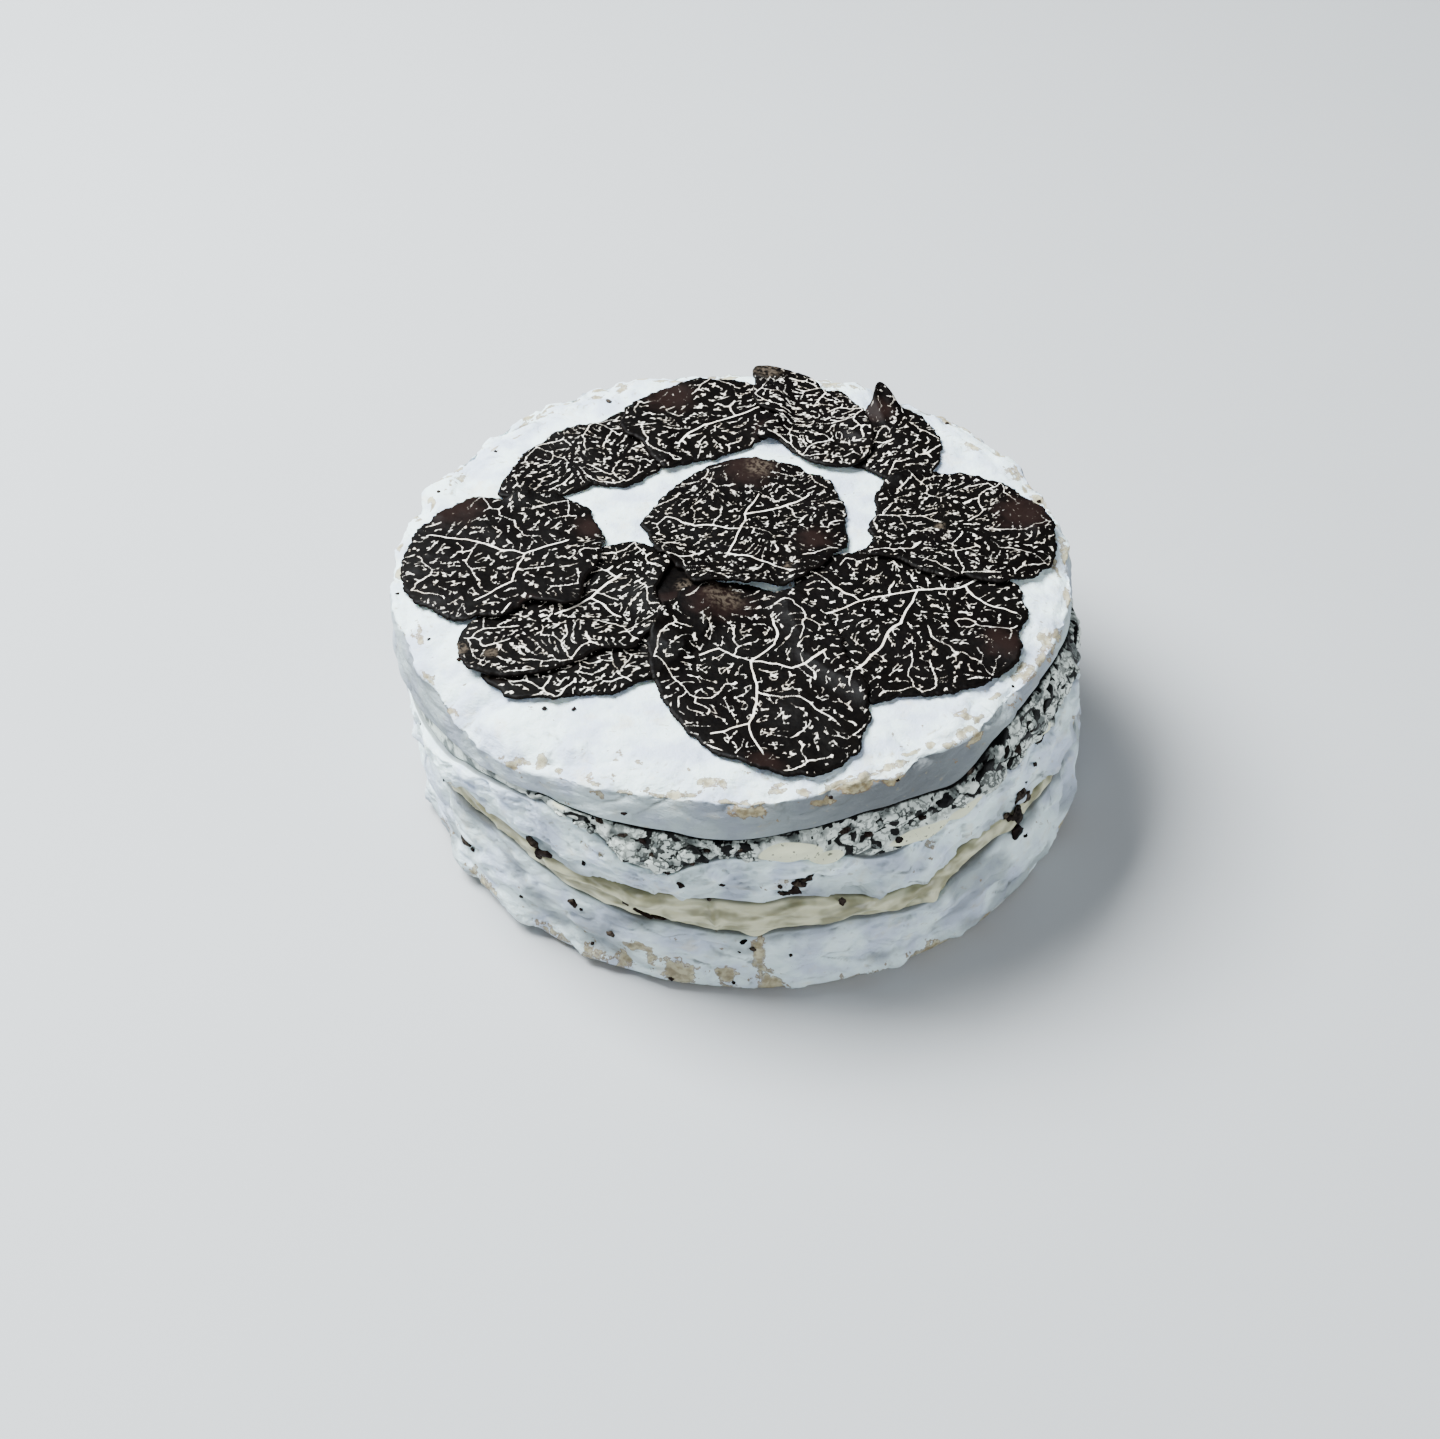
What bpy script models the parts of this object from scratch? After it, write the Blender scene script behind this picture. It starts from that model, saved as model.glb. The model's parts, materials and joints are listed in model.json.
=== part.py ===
"""A soft white-rind cheese, cut level into three discs and filled twice.

From the bottom up it has a bottom disc, a cream filling, a middle disc, a filling with chopped
truffle, a top disc, and twelve thin truffle slices that overlap on the top face.
All sizes below are millimetres, and become metres when a mesh is made. Angles are degrees,
counted anticlockwise from +X as seen from above, so that -90 is the front.
A profile round the cheese is a mean value and then soft bumps: (angle, half width, rise).
"""
from collections import namedtuple

import bmesh
import bpy
import numpy as np

MM = 0.001
FULL_TURN = 360.0
SEGMENTS = 72
GAP = 0.3

# Driving sizes of the cheese
RADIUS = 65.0
HEIGHT = 48.5
FOOT_RADIUS = 4.0
LEVEL_RADIUS = 46.0
CREASE_RADIUS = 62.8
LEAST_FILLING = 1.6
LEAST_DISC = 5.0

# The upper part leans off the base towards -X, from the first height to the second
LEAN = 3.0
LEAN_FROM = 12.0
LEAN_TO = 34.0
CENTRE_SHIFT = 0.9

# Level heights of the four joints between the layers, inside the cheese
BOTTOM_TOP = 19.0
MIDDLE_UNDER = 23.0
MIDDLE_TOP = 34.5
TOP_UNDER = 38.5

# Heights of the same joints at the rim
BOTTOM_TOP_EDGE = (18.4, (-180, 30, 2.5), (-137, 12, 4.5), (-90, 22, -3.0), (-62, 8, -3.0),
                   (-42, 10, 1.8), (30, 22, 2.0), (75, 14, -1.6), (128, 16, 1.4))
MIDDLE_UNDER_EDGE = (23.6, (-180, 26, -1.5), (-137, 14, 3.8), (-104, 8, 1.2), (-64, 8, -4.2),
                     (-43, 6, 0.8), (-22, 14, -3.5), (48, 15, 1.8), (100, 18, 1.2))
MIDDLE_TOP_EDGE = (34.0, (-180, 30, -4.8), (-123, 15, 4.4), (-104, 6, -6.2), (-64, 10, -4.6),
                   (-28, 12, -1.2), (35, 26, 2.2), (104, 20, 1.8), (140, 12, -1.0))
TOP_UNDER_EDGE = (40.2, (-180, 36, -8.6), (-92, 9, -1.6), (-52, 5, -2.4), (-32, 18, 3.4),
                  (24, 22, 1.6), (82, 16, -2.0), (122, 14, -1.0))

# How far each layer reaches, as a change to the radius
BOTTOM_REACH = (0.0, (-160, 20, -0.6), (-128, 14, -0.8), (-60, 20, 0.3), (30, 30, -0.4),
                (110, 26, 0.5))
MIDDLE_REACH = (-0.6, (-165, 18, -1.0), (-14, 12, 1.8), (70, 30, 0.5), (130, 15, -0.6))
TOP_REACH = (-1.2, (-180, 30, 0.6), (-146, 12, -0.8), (-84, 10, 0.7), (-32, 18, -1.8),
             (44, 18, 0.3), (96, 20, -0.8))
LOWER_FILL_DEPTH = (1.9, (-180, 34, 1.3), (-93, 12, -0.9), (-77, 6, -0.6), (-20, 18, 0.8),
                    (60, 30, -0.3), (120, 16, 0.6))
UPPER_FILL_DEPTH = (1.9, (-180, 38, 1.4), (-104, 8, -1.3), (-47, 8, -1.6), (-18, 16, -1.1),
                    (50, 20, 0.5), (92, 12, -0.8))

# The shoulder of the top disc falls from the top face to a lip, by a quarter of an ellipse
SHOULDER_WIDTH = (5.6, (-134, 18, 3.6), (20, 24, 1.2), (150, 20, 1.6))
SHOULDER_DROP = (3.0, (-134, 16, 4.4), (-30, 14, -0.6), (70, 18, 0.8), (150, 18, 1.2))

# The top face: a low dome with shallow waves, and a rim that sinks a little in places
DOME = 0.2
WAVE_HEIGHT = 0.2
WAVE_LENGTH = 34.0
WAVE_PHASES = (0.6, -0.4)
RIM_SINK = (0.0, (-30, 16, 0.8), (84, 12, 0.7), (150, 20, 0.4))
RIM_FADE = (60.0, 50.0)

# Where the rings of each surface lie: radii on the top face, angles round a rounded edge, and
# shares of the way from the level part to the crease and up a side
TOP_RADII = (54.0, 44.0, 30.0, 15.0)
EDGE_TURNS = (0.0, 30.0, 60.0, 90.0)
JOINT_SHARES = (0.45, 0.8, 1.0)
BOTTOM_SIDE = (0.5, 0.75)
MIDDLE_SIDE = (0.14, 0.35, 0.65, 0.86)
TOP_SIDE = (0.3, 0.65)
FILLING_SIDE = (0.25, 0.5, 0.75)
DISC_FULLNESS = 0.55
FILLING_FULLNESS = 0.5

# Chopped truffle and curds that stand out of the fillings, fused to them. These show at the
# front: (angle, height as a share of the filling's edge, half length, half height).
UPPER_LUMPS = ((-107, 0.40, 3.0, 2.0), (-102, 0.25, 2.4, 2.6), (-97, 0.60, 2.2, 1.8),
               (-88, 0.50, 3.0, 2.0), (-79, 0.50, 2.6, 2.2), (-70, 0.40, 3.4, 2.6),
               (-60, 0.50, 3.8, 3.0), (-53, 0.60, 2.4, 2.0), (-46, 0.50, 4.2, 4.6),
               (-37, 0.40, 3.0, 3.0), (-29, 0.60, 2.8, 3.0), (-20, 0.45, 3.0, 3.4),
               (-10, 0.55, 2.6, 3.0))
LOWER_LUMPS = ((-106, 0.50, 3.2, 1.9), (-95, 0.50, 1.4, 2.6), (-88, 0.40, 2.4, 1.6),
               (-42, 0.50, 2.6, 1.6), (-125, 0.50, 1.8, 1.2))
# The rest go round the hidden side: from where to where, how many, and their half sizes
BEHIND = (4.0, 176.0)
UPPER_BEHIND = 13
LOWER_BEHIND = 6
LUMP_SIZE = (1.5, 3.2)
LUMP_DEPTH = 1.6
LUMP_SUNK = 0.5
LUMP_UNEVEN = (0.8, 1.0)
LUMP_CLEARANCE = 0.7
LEAST_LUMP = 0.7
LUMP_SEED = 21

# Bits of truffle stuck to the rind: (angle, height, half length, half height)
BOTTOM_BITS = ((-145, 10.6, 1.9, 1.2), (-119, 15.0, 1.1, 1.0), (-112, 11.1, 0.8, 0.8),
               (-90, 12.6, 1.2, 0.8), (24, 11.0, 1.4, 1.0), (98, 8.0, 1.2, 1.1))
MIDDLE_BITS = ((-82, 27.6, 3.4, 1.5), (-94, 27.6, 1.0, 0.9), (118, 31.0, 1.6, 1.0))
BIT_DEPTH = 1.0
BIT_SUNK = 0.2

# Truffle slices
SLICE_THICKNESS = 0.8
SLICE_EDGE = 0.6
SLICE_SEGMENTS = 26
SLICE_RINGS = (0.36, 0.68, 1.0)
SLICE_WAVE = 0.3
SLICE_WAVE_LENGTHS = (26.0, 32.0)
CRINKLE = 0.45
SLICE_SEED = 5
PLAN_STEP = 0.7
PLAN_HALF = 72.0
SETTLE_STEPS = 160
SETTLE_SMOOTHING = 0.5

# One slice: its middle, half length, half width and turn, its corners (angle, half width, out),
# and where its edge lifts (angle, half width, rise). They are listed in the order they were laid.
Slice = namedtuple("Slice", "name middle half_length half_width turn corners lifts")
SLICES = (
    Slice("slice_under", (-13, -14), 13.0, 6.0, 90, (), ()),
    Slice("slice_right_front", (28, -18), 22.0, 20.5, -15,
          ((-109, 8, 3.4), (139, 12, 2.0), (80, 14, -4.0), (20, 8, 1.8), (-10, 8, -1.8),
           (-169, 12, -2.0)), ((-25, 12, 0.6),)),
    Slice("slice_front_left_low", (-30, -30), 18.0, 8.5, 14,
          ((-158, 8, -1.5), (-54, 10, 0.5)), ((-120, 20, 0.5),)),
    Slice("slice_back_left", (-30, 30), 17.0, 10.5, 25,
          ((-146, 11, 5.0), (-92, 20, -3.0), (71, 12, 3.0), (18, 15, -2.0)), ((120, 20, 0.4),)),
    Slice("slice_back", (-9, 43), 17.0, 13.0, 27,
          ((-114, 12, 3.5), (-145, 12, -2.0)), ((100, 18, 0.6),)),
    Slice("slice_back_right", (29, 35), 12.0, 9.0, 100,
          ((98, 8, 5.0), (-173, 15, -3.5), (-142, 10, 1.5)), ((98, 14, 3.4),)),
    Slice("slice_back_tip", (13, 43), 18.0, 10.0, 114,
          ((121, 10, 4.0), (180, 12, -4.0), (-147, 10, 3.5), (76, 10, -2.5)),
          ((122, 22, 1.0), (-80, 20, 0.8))),
    Slice("slice_right", (40, 8), 19.0, 16.0, -42,
          ((-154, 8, 4.0), (-91, 12, -2.0), (160, 12, -1.5), (131, 8, 1.0)), ((10, 24, 0.7),)),
    Slice("slice_front_left", (-33, -16), 23.5, 13.0, 43,
          ((-40, 14, 3.5), (-15, 14, 3.0), (19, 12, -3.5), (60, 12, 1.5), (114, 14, -5.0),
           (180, 14, -2.0)), ((-140, 12, 0.8),)),
    Slice("slice_left", (-46, 0), 20.0, 18.0, 54,
          ((-69, 12, -3.0), (-46, 10, 3.0), (92, 12, -2.0), (46, 10, 1.0)), ((-60, 20, 0.5),)),
    Slice("slice_front", (1, -33), 25.5, 18.0, 111,
          ((-62, 12, 1.6), (-48, 6, 1.4), (-31, 6, 1.0), (12, 18, -1.8), (70, 8, 1.5)),
          ((-80, 24, 0.5),)),
    Slice("slice_centre", (0, 9), 20.0, 18.5, 73,
          ((-118, 6, 2.0), (-89, 12, -1.2), (40, 10, 1.3), (177, 10, 1.7), (95, 10, 1.0)),
          ((-90, 24, 1.0), (95, 30, 0.4))),
)

# Plain finishes: (red, green, blue), roughness
RIND = ((0.86, 0.89, 0.92), 0.75)
CREAM = ((0.80, 0.79, 0.62), 0.45)
TRUFFLE_CREAM = ((0.42, 0.42, 0.38), 0.6)
TRUFFLE = ((0.035, 0.022, 0.017), 0.55)


def clear_scene():
    """Remove the objects of the start-up scene."""
    for thing in list(bpy.data.objects):
        bpy.data.objects.remove(thing, do_unlink=True)


def new_collection(name):
    """Make a collection under the scene."""
    group = bpy.data.collections.new(name)
    bpy.context.scene.collection.children.link(group)
    return group


def new_material(name, colour, roughness):
    """Make a plain Principled material."""
    material = bpy.data.materials.new(name)
    material.use_nodes = True
    shader = material.node_tree.nodes["Principled BSDF"]
    shader.inputs["Base Color"].default_value = (*colour, 1.0)
    shader.inputs["Roughness"].default_value = roughness
    shader.inputs["Metallic"].default_value = 0.0
    return material


def new_object(name, points, faces, group, finish):
    """Make a smooth-shaded object from points in millimetres, with its own material."""
    mesh = bpy.data.meshes.new(name)
    mesh.from_pydata((np.asarray(points) * MM).tolist(), [], np.asarray(faces).tolist())
    mesh.materials.append(new_material(name, *finish))
    mesh.shade_smooth()
    thing = bpy.data.objects.new(name, mesh)
    group.objects.link(thing)
    return thing


def angles():
    """The angles of the sections round the cheese."""
    return np.arange(SEGMENTS) * FULL_TURN / SEGMENTS


def around(angle, profile):
    """A profile's value at some angles: its mean plus bumps that fade as a bell curve."""
    mean, bumps = profile[0], profile[1:]
    value = np.full(np.shape(angle), float(mean))
    for at, half_width, rise in bumps:
        away = (angle - at + FULL_TURN / 2) % FULL_TURN - FULL_TURN / 2
        value += rise * np.exp(-(away / half_width) ** 2)
    return value


def smooth_step(value):
    """Ease from 0 to 1."""
    t = np.clip(value, 0.0, 1.0)
    return t * t * (3.0 - 2.0 * t)


def lean(points):
    """Move points towards -X by how high they stand, and centre the whole on the origin."""
    points = np.array(points, float)
    share = smooth_step((points[:, 2] - LEAN_FROM) / (LEAN_TO - LEAN_FROM))
    points[:, 0] += CENTRE_SHIFT - LEAN * share
    return points


def edge_heights():
    """The four joints' heights at the rim, kept at least a thin layer apart."""
    angle = angles()
    bottom_top = around(angle, BOTTOM_TOP_EDGE)
    middle_under = np.maximum(around(angle, MIDDLE_UNDER_EDGE), bottom_top + LEAST_FILLING)
    middle_top = np.maximum(around(angle, MIDDLE_TOP_EDGE), middle_under + LEAST_DISC)
    top_under = np.maximum(around(angle, TOP_UNDER_EDGE), middle_top + LEAST_FILLING)
    return bottom_top, middle_under, middle_top, top_under


def joint_rings(edge, level, rise):
    """Rings of the surface between two layers, from its level part out to the crease.

    The surface rises or falls to its height at the rim. The layer under it takes it lowered,
    and the layer over it takes it raised, by half of the gap.
    """
    rings = [(np.full(SEGMENTS, LEVEL_RADIUS), np.full(SEGMENTS, level + rise))]
    for share in JOINT_SHARES:
        radius = LEVEL_RADIUS + (CREASE_RADIUS - LEVEL_RADIUS) * share
        height = level + (edge - level) * smooth_step(share) + rise
        rings.append((np.full(SEGMENTS, radius), height))
    return rings


def side_rings(low, high, inner_low, inner_high, reach, shares, fullness):
    """Rings of a layer's side, which bulges out between its lower and its upper crease."""
    rings = []
    for share in shares:
        inner = inner_low + (inner_high - inner_low) * share
        bulge = np.sin(np.pi * share) ** fullness
        rings.append((inner + (reach - inner) * bulge, low + (high - low) * share))
    return rings


def foot_rings(reach):
    """Rings of the bottom disc's rounded foot, from its flat underside out to its side."""
    rings = []
    for turn in np.radians(EDGE_TURNS):
        radius = reach - FOOT_RADIUS * (1 - np.sin(turn))
        rings.append((radius, np.full(SEGMENTS, FOOT_RADIUS * (1 - np.cos(turn)))))
    return rings


def top_rings(reach):
    """Rings of the top disc's shoulder, and then of its shallow waves in to the middle."""
    angle = angles()
    sink, width = around(angle, RIM_SINK), around(angle, SHOULDER_WIDTH)
    drop = around(angle, SHOULDER_DROP)
    rings = []
    for turn in np.radians(EDGE_TURNS):
        height = HEIGHT - drop * (1 - np.sin(turn)) - sink * np.sin(turn)
        rings.append((reach - width * (1 - np.cos(turn)), height))
    for radius in TOP_RADII:
        x = 2 * np.pi * radius * np.cos(np.radians(angle)) / WAVE_LENGTH
        y = 2 * np.pi * radius * np.sin(np.radians(angle)) / WAVE_LENGTH
        wave = WAVE_HEIGHT * np.sin(x + WAVE_PHASES[0]) * np.cos(y + WAVE_PHASES[1])
        dome = DOME * (1 - (radius / RADIUS) ** 2)
        inside = smooth_step((RIM_FADE[0] - radius) / (RIM_FADE[0] - RIM_FADE[1]))
        rings.append((np.full(SEGMENTS, radius), HEIGHT + wave + dome - sink * (1 - inside)))
    return rings


def loft(rings, turn):
    """Points and triangles of a round solid, from its lower middle, up its side, to its top.

    Both flat faces are split the same way, along the diagonal from the inner ring to the next
    point of the outer one, so that faces that meet across a gap run parallel. The ring at
    index turn is the outermost, where the way back in begins.
    """
    angle = np.radians(angles())
    rings = [np.stack([r * np.cos(angle), r * np.sin(angle), z], axis=1) for r, z in rings]
    points = np.concatenate([[rings[0].mean(axis=0)], *rings, [rings[-1].mean(axis=0)]])
    here = np.arange(SEGMENTS)
    after = (here + 1) % SEGMENTS
    faces = [np.stack([0 * here, 1 + after, 1 + here], axis=1)]
    for k in range(len(rings) - 1):
        a, b = 1 + k * SEGMENTS, 1 + (k + 1) * SEGMENTS
        if k < turn:
            faces.append(np.stack([a + here, a + after, b + after], axis=1))
            faces.append(np.stack([a + here, b + after, b + here], axis=1))
        else:
            faces.append(np.stack([a + here, a + after, b + here], axis=1))
            faces.append(np.stack([a + after, b + after, b + here], axis=1))
    last = 1 + (len(rings) - 1) * SEGMENTS
    faces.append(np.stack([last + here, last + after, 0 * here + len(points) - 1], axis=1))
    return lean(points), np.concatenate(faces)


def build_bottom(group):
    """Make the bottom disc, which stands on a flat underside, with bits stuck to its side."""
    bottom_top = edge_heights()[0]
    reach = RADIUS + around(angles(), BOTTOM_REACH)
    side = side_rings(FOOT_RADIUS, bottom_top - GAP / 2, reach, CREASE_RADIUS, reach,
                      BOTTOM_SIDE, DISC_FULLNESS)
    rings = foot_rings(reach) + side
    turn = len(rings) - 1
    rings += joint_rings(bottom_top, BOTTOM_TOP, -GAP / 2)[::-1]
    disc = new_object("bottom_cheese", *loft(rings, turn), group, RIND)
    fuse(disc, rind_bits("bottom_bits", BOTTOM_BITS, reach))


def build_middle(group):
    """Make the middle disc, with bits stuck to its side."""
    middle_under, middle_top = edge_heights()[1:3]
    reach = RADIUS + around(angles(), MIDDLE_REACH)
    side = side_rings(middle_under + GAP / 2, middle_top - GAP / 2, CREASE_RADIUS, CREASE_RADIUS,
                      reach, MIDDLE_SIDE, DISC_FULLNESS)
    rings = joint_rings(middle_under, MIDDLE_UNDER, GAP / 2) + side
    turn = len(rings) - 1
    rings += joint_rings(middle_top, MIDDLE_TOP, -GAP / 2)[::-1]
    disc = new_object("middle_cheese", *loft(rings, turn), group, RIND)
    fuse(disc, rind_bits("middle_bits", MIDDLE_BITS, reach))


def build_top(group):
    """Make the top disc, and return its points and triangles for the slices to lie on."""
    top_under = edge_heights()[3]
    reach = RADIUS + around(angles(), TOP_REACH)
    lip = HEIGHT - around(angles(), SHOULDER_DROP)
    low = np.minimum(top_under + GAP / 2, lip - LEAST_FILLING)
    side = side_rings(low, lip, CREASE_RADIUS, reach, reach, TOP_SIDE, DISC_FULLNESS)
    rings = joint_rings(low, TOP_UNDER + GAP / 2, 0.0) + side
    turn = len(rings) - 1
    points, faces = loft(rings + top_rings(reach), turn)
    new_object("top_cheese", points, faces, group, RIND)
    return points, faces


def build_filling(group, name, low, high, levels, depth, lumps, finish, rng):
    """Make a filling, which takes the room between two discs out to its own depth."""
    face = RADIUS - around(angles(), depth)
    under = joint_rings(low, levels[0], GAP / 2)[:-1]
    over = joint_rings(high, levels[1], -GAP / 2)[:-1]
    inner = under[-1][0]
    low, high = low + GAP / 2, high - GAP / 2
    rings = under + side_rings(low, high, inner, inner, face, FILLING_SIDE, FILLING_FULLNESS)
    turn = len(rings) - 1
    filling = new_object(name, *loft(rings + over[::-1], turn), group, finish)
    fuse(filling, filling_lumps(name + "_lumps", lumps, low, high, face, rng))


def build_fillings(group):
    """Make the cream filling and the truffle filling."""
    rng = np.random.default_rng(LUMP_SEED)
    bottom_top, middle_under, middle_top, top_under = edge_heights()
    build_filling(group, "lower_filling", bottom_top, middle_under, (BOTTOM_TOP, MIDDLE_UNDER),
                  LOWER_FILL_DEPTH, (*LOWER_LUMPS, *lumps_behind(LOWER_BEHIND, rng)), CREAM, rng)
    build_filling(group, "upper_filling", middle_top, top_under, (MIDDLE_TOP, TOP_UNDER),
                  UPPER_FILL_DEPTH, (*UPPER_LUMPS, *lumps_behind(UPPER_BEHIND, rng)),
                  TRUFFLE_CREAM, rng)


def lumps_behind(count, rng):
    """Uneven lumps spread round the hidden side."""
    turns = np.linspace(*BEHIND, count) + rng.uniform(-3.0, 3.0, count)
    return [(turn, rng.uniform(0.4, 0.6), *rng.uniform(*LUMP_SIZE, 2)) for turn in turns]


def round_value(values, angle):
    """A value given at each section, read at any angle between them."""
    return np.interp(angle, angles(), values, period=FULL_TURN)


def filling_lumps(name, lumps, low, high, face, rng):
    """Put lumps round a filling's edge, each no taller than the filling is there."""
    cutters = new_collection(name)
    for turn, share, half_length, half_height in lumps:
        spread = np.degrees(half_length / RADIUS)
        near = turn + np.linspace(-spread, spread, 5)
        floor = round_value(low, near).max() + LUMP_CLEARANCE
        roof = round_value(high, near).min() - LUMP_CLEARANCE
        half_height = min(half_height, (roof - floor) / 2)
        if half_height >= LEAST_LUMP:
            height = floor + (roof - floor) * share
            height = np.clip(height, floor + half_height, roof - half_height)
            out = round_value(face, turn) - LUMP_SUNK
            add_lump(cutters, turn, out, height, (LUMP_DEPTH, half_length, half_height), rng)
    return cutters


def rind_bits(name, bits, reach):
    """Put bits of truffle on a disc's side."""
    rng = np.random.default_rng(LUMP_SEED)
    cutters = new_collection(name)
    for turn, height, half_length, half_height in bits:
        out = round_value(reach, turn) - BIT_SUNK
        add_lump(cutters, turn, out, height, (BIT_DEPTH, half_length, half_height), rng)
    return cutters


def add_lump(cutters, turn, out, height, half_sizes, rng):
    """Add one uneven faceted lump that stands at a given angle, radius and height."""
    lump = bmesh.new()
    bmesh.ops.create_icosphere(lump, subdivisions=1, radius=1.0)
    points = np.array([vertex.co for vertex in lump.verts])
    faces = [[vertex.index for vertex in face.verts] for face in lump.faces]
    lump.free()
    points *= rng.uniform(*LUMP_UNEVEN, points.shape) * half_sizes
    cos, sin = np.cos(np.radians(turn)), np.sin(np.radians(turn))
    outward, along = points[:, 0] + out, points[:, 1]
    points = np.column_stack([outward * cos - along * sin, outward * sin + along * cos,
                              points[:, 2] + height])
    name = f"{cutters.name}_{len(cutters.objects)}"
    piece = new_object(name, lean(points), faces, cutters, TRUFFLE)
    piece.hide_render = True
    piece.display_type = "WIRE"


def fuse(solid, lumps):
    """Join a collection's lumps to a solid by one union, then remove the lumps.

    The manifold solver is used because the exact one leaves loose faces between the lumps.
    """
    union = solid.modifiers.new("join_lumps", "BOOLEAN")
    union.operation = "UNION"
    union.operand_type = "COLLECTION"
    union.collection = lumps
    union.solver = "MANIFOLD"
    bpy.context.view_layer.update()
    finished = solid.evaluated_get(bpy.context.evaluated_depsgraph_get())
    joined = bpy.data.meshes.new_from_object(finished)
    solid.modifiers.remove(union)
    solid.data = joined
    for piece in list(lumps.objects):
        bpy.data.objects.remove(piece, do_unlink=True)
    bpy.data.collections.remove(lumps)


class Pile:
    """How high the cheese and the slices laid so far reach, on a square plan grid."""

    def __init__(self):
        """Start with nothing on the grid."""
        steps = int(2 * PLAN_HALF / PLAN_STEP) + 1
        self.axis = -PLAN_HALF + PLAN_STEP * np.arange(steps)
        self.top = np.full((steps, steps), -np.inf)

    def cells(self, corners):
        """The grid cells inside a triangle, and each corner's weight in them."""
        low = np.ceil((corners.min(axis=0) + PLAN_HALF) / PLAN_STEP).astype(int)
        high = np.floor((corners.max(axis=0) + PLAN_HALF) / PLAN_STEP).astype(int)
        spots = np.indices(np.maximum(high - low + 1, 0)).reshape(2, -1).T + low
        sides = np.column_stack([corners[1] - corners[0], corners[2] - corners[0]])
        if np.linalg.det(sides) == 0.0:
            return spots[:0], np.zeros((0, 3))
        share = (self.axis[spots] - corners[0]) @ np.linalg.inv(sides).T
        weights = np.column_stack([1 - share.sum(axis=1), share])
        inside = (weights >= 0.0).all(axis=1)
        return spots[inside], weights[inside]

    def add(self, points, faces):
        """Raise the grid to a surface's triangles."""
        for face in faces:
            cells, weights = self.cells(points[face][:, :2])
            i, j = cells.T
            self.top[i, j] = np.maximum(self.top[i, j], weights @ points[face][:, 2])

    def settle(self, plan, faces, links):
        """Heights at which a limp sheet rests on the pile, clear of it by the gap.

        The sheet starts low and level. Again and again each point moves towards its
        neighbours, and then every place that is too low lifts its triangle's corners. In the
        last half of the steps it is only lifted.
        """
        spots = [self.cells(plan[face]) for face in faces]
        weights = np.concatenate([weight for _, weight in spots])
        corners = np.concatenate([np.tile(face, (len(cell), 1))
                                  for face, (cell, _) in zip(faces, spots)])
        i, j = np.concatenate([cell for cell, _ in spots]).T
        need = self.top[i, j] + GAP
        held = np.isfinite(need)
        need, weights, corners = need[held], weights[held], corners[held]
        pull = weights / (weights ** 2).sum(axis=1, keepdims=True)
        height = np.full(len(plan), need.min())
        for step in range(SETTLE_STEPS):
            if step < SETTLE_STEPS // 2:
                height += SETTLE_SMOOTHING * (height[links].mean(axis=1) - height)
            short = np.maximum(need - (weights * height[corners]).sum(axis=1), 0.0)
            rise = np.zeros(len(plan))
            np.maximum.at(rise, corners, short[:, None] * pull)
            height += rise
        short = need - (weights * height[corners]).sum(axis=1)
        return height + max(short.max(), 0.0)


def slice_plan(piece, rng):
    """Plan points of a slice in rings round its middle, with their angle and share outwards.

    Its outline is an ellipse with its corners added, and a little crinkled.
    """
    turns = np.arange(SLICE_SEGMENTS) * FULL_TURN / SLICE_SEGMENTS
    away = np.radians(turns - piece.turn)
    reach = 1.0 / np.hypot(np.cos(away) / piece.half_length, np.sin(away) / piece.half_width)
    reach += around(turns, (0.0, *piece.corners))
    crinkle = rng.uniform(-CRINKLE, CRINKLE, SLICE_SEGMENTS)
    middle = np.array(piece.middle) + (CENTRE_SHIFT, 0.0)
    toward = np.column_stack([np.cos(np.radians(turns)), np.sin(np.radians(turns))])
    rings = [middle + (reach * share + crinkle * (share == 1.0))[:, None] * toward
             for share in SLICE_RINGS]
    shares = np.concatenate([[0.0], np.repeat(SLICE_RINGS, SLICE_SEGMENTS)])
    at = np.concatenate([[0.0], np.tile(turns, len(SLICE_RINGS))])
    return np.concatenate([[middle], *rings]), shares, at


def slice_faces():
    """Triangles of a slice's upper face, and the four neighbours of each of its points."""
    here = np.arange(SLICE_SEGMENTS)
    before, after = (here - 1) % SLICE_SEGMENTS, (here + 1) % SLICE_SEGMENTS
    faces = [np.stack([0 * here, 1 + here, 1 + after], axis=1)]
    links = [1 + np.arange(4)[None, :] * SLICE_SEGMENTS // 4]
    last = len(SLICE_RINGS) - 1
    for k in range(last + 1):
        base = 1 + k * SLICE_SEGMENTS
        inner = base - SLICE_SEGMENTS + here if k > 0 else 0 * here
        outer = base + SLICE_SEGMENTS + here if k < last else base + here
        links.append(np.stack([base + before, base + after, inner, outer], axis=1))
        if k < last:
            outer_after = base + SLICE_SEGMENTS + after
            faces.append(np.stack([base + here, outer, outer_after], axis=1))
            faces.append(np.stack([base + here, outer_after, base + after], axis=1))
    return np.concatenate(faces), np.concatenate(links)


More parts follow.
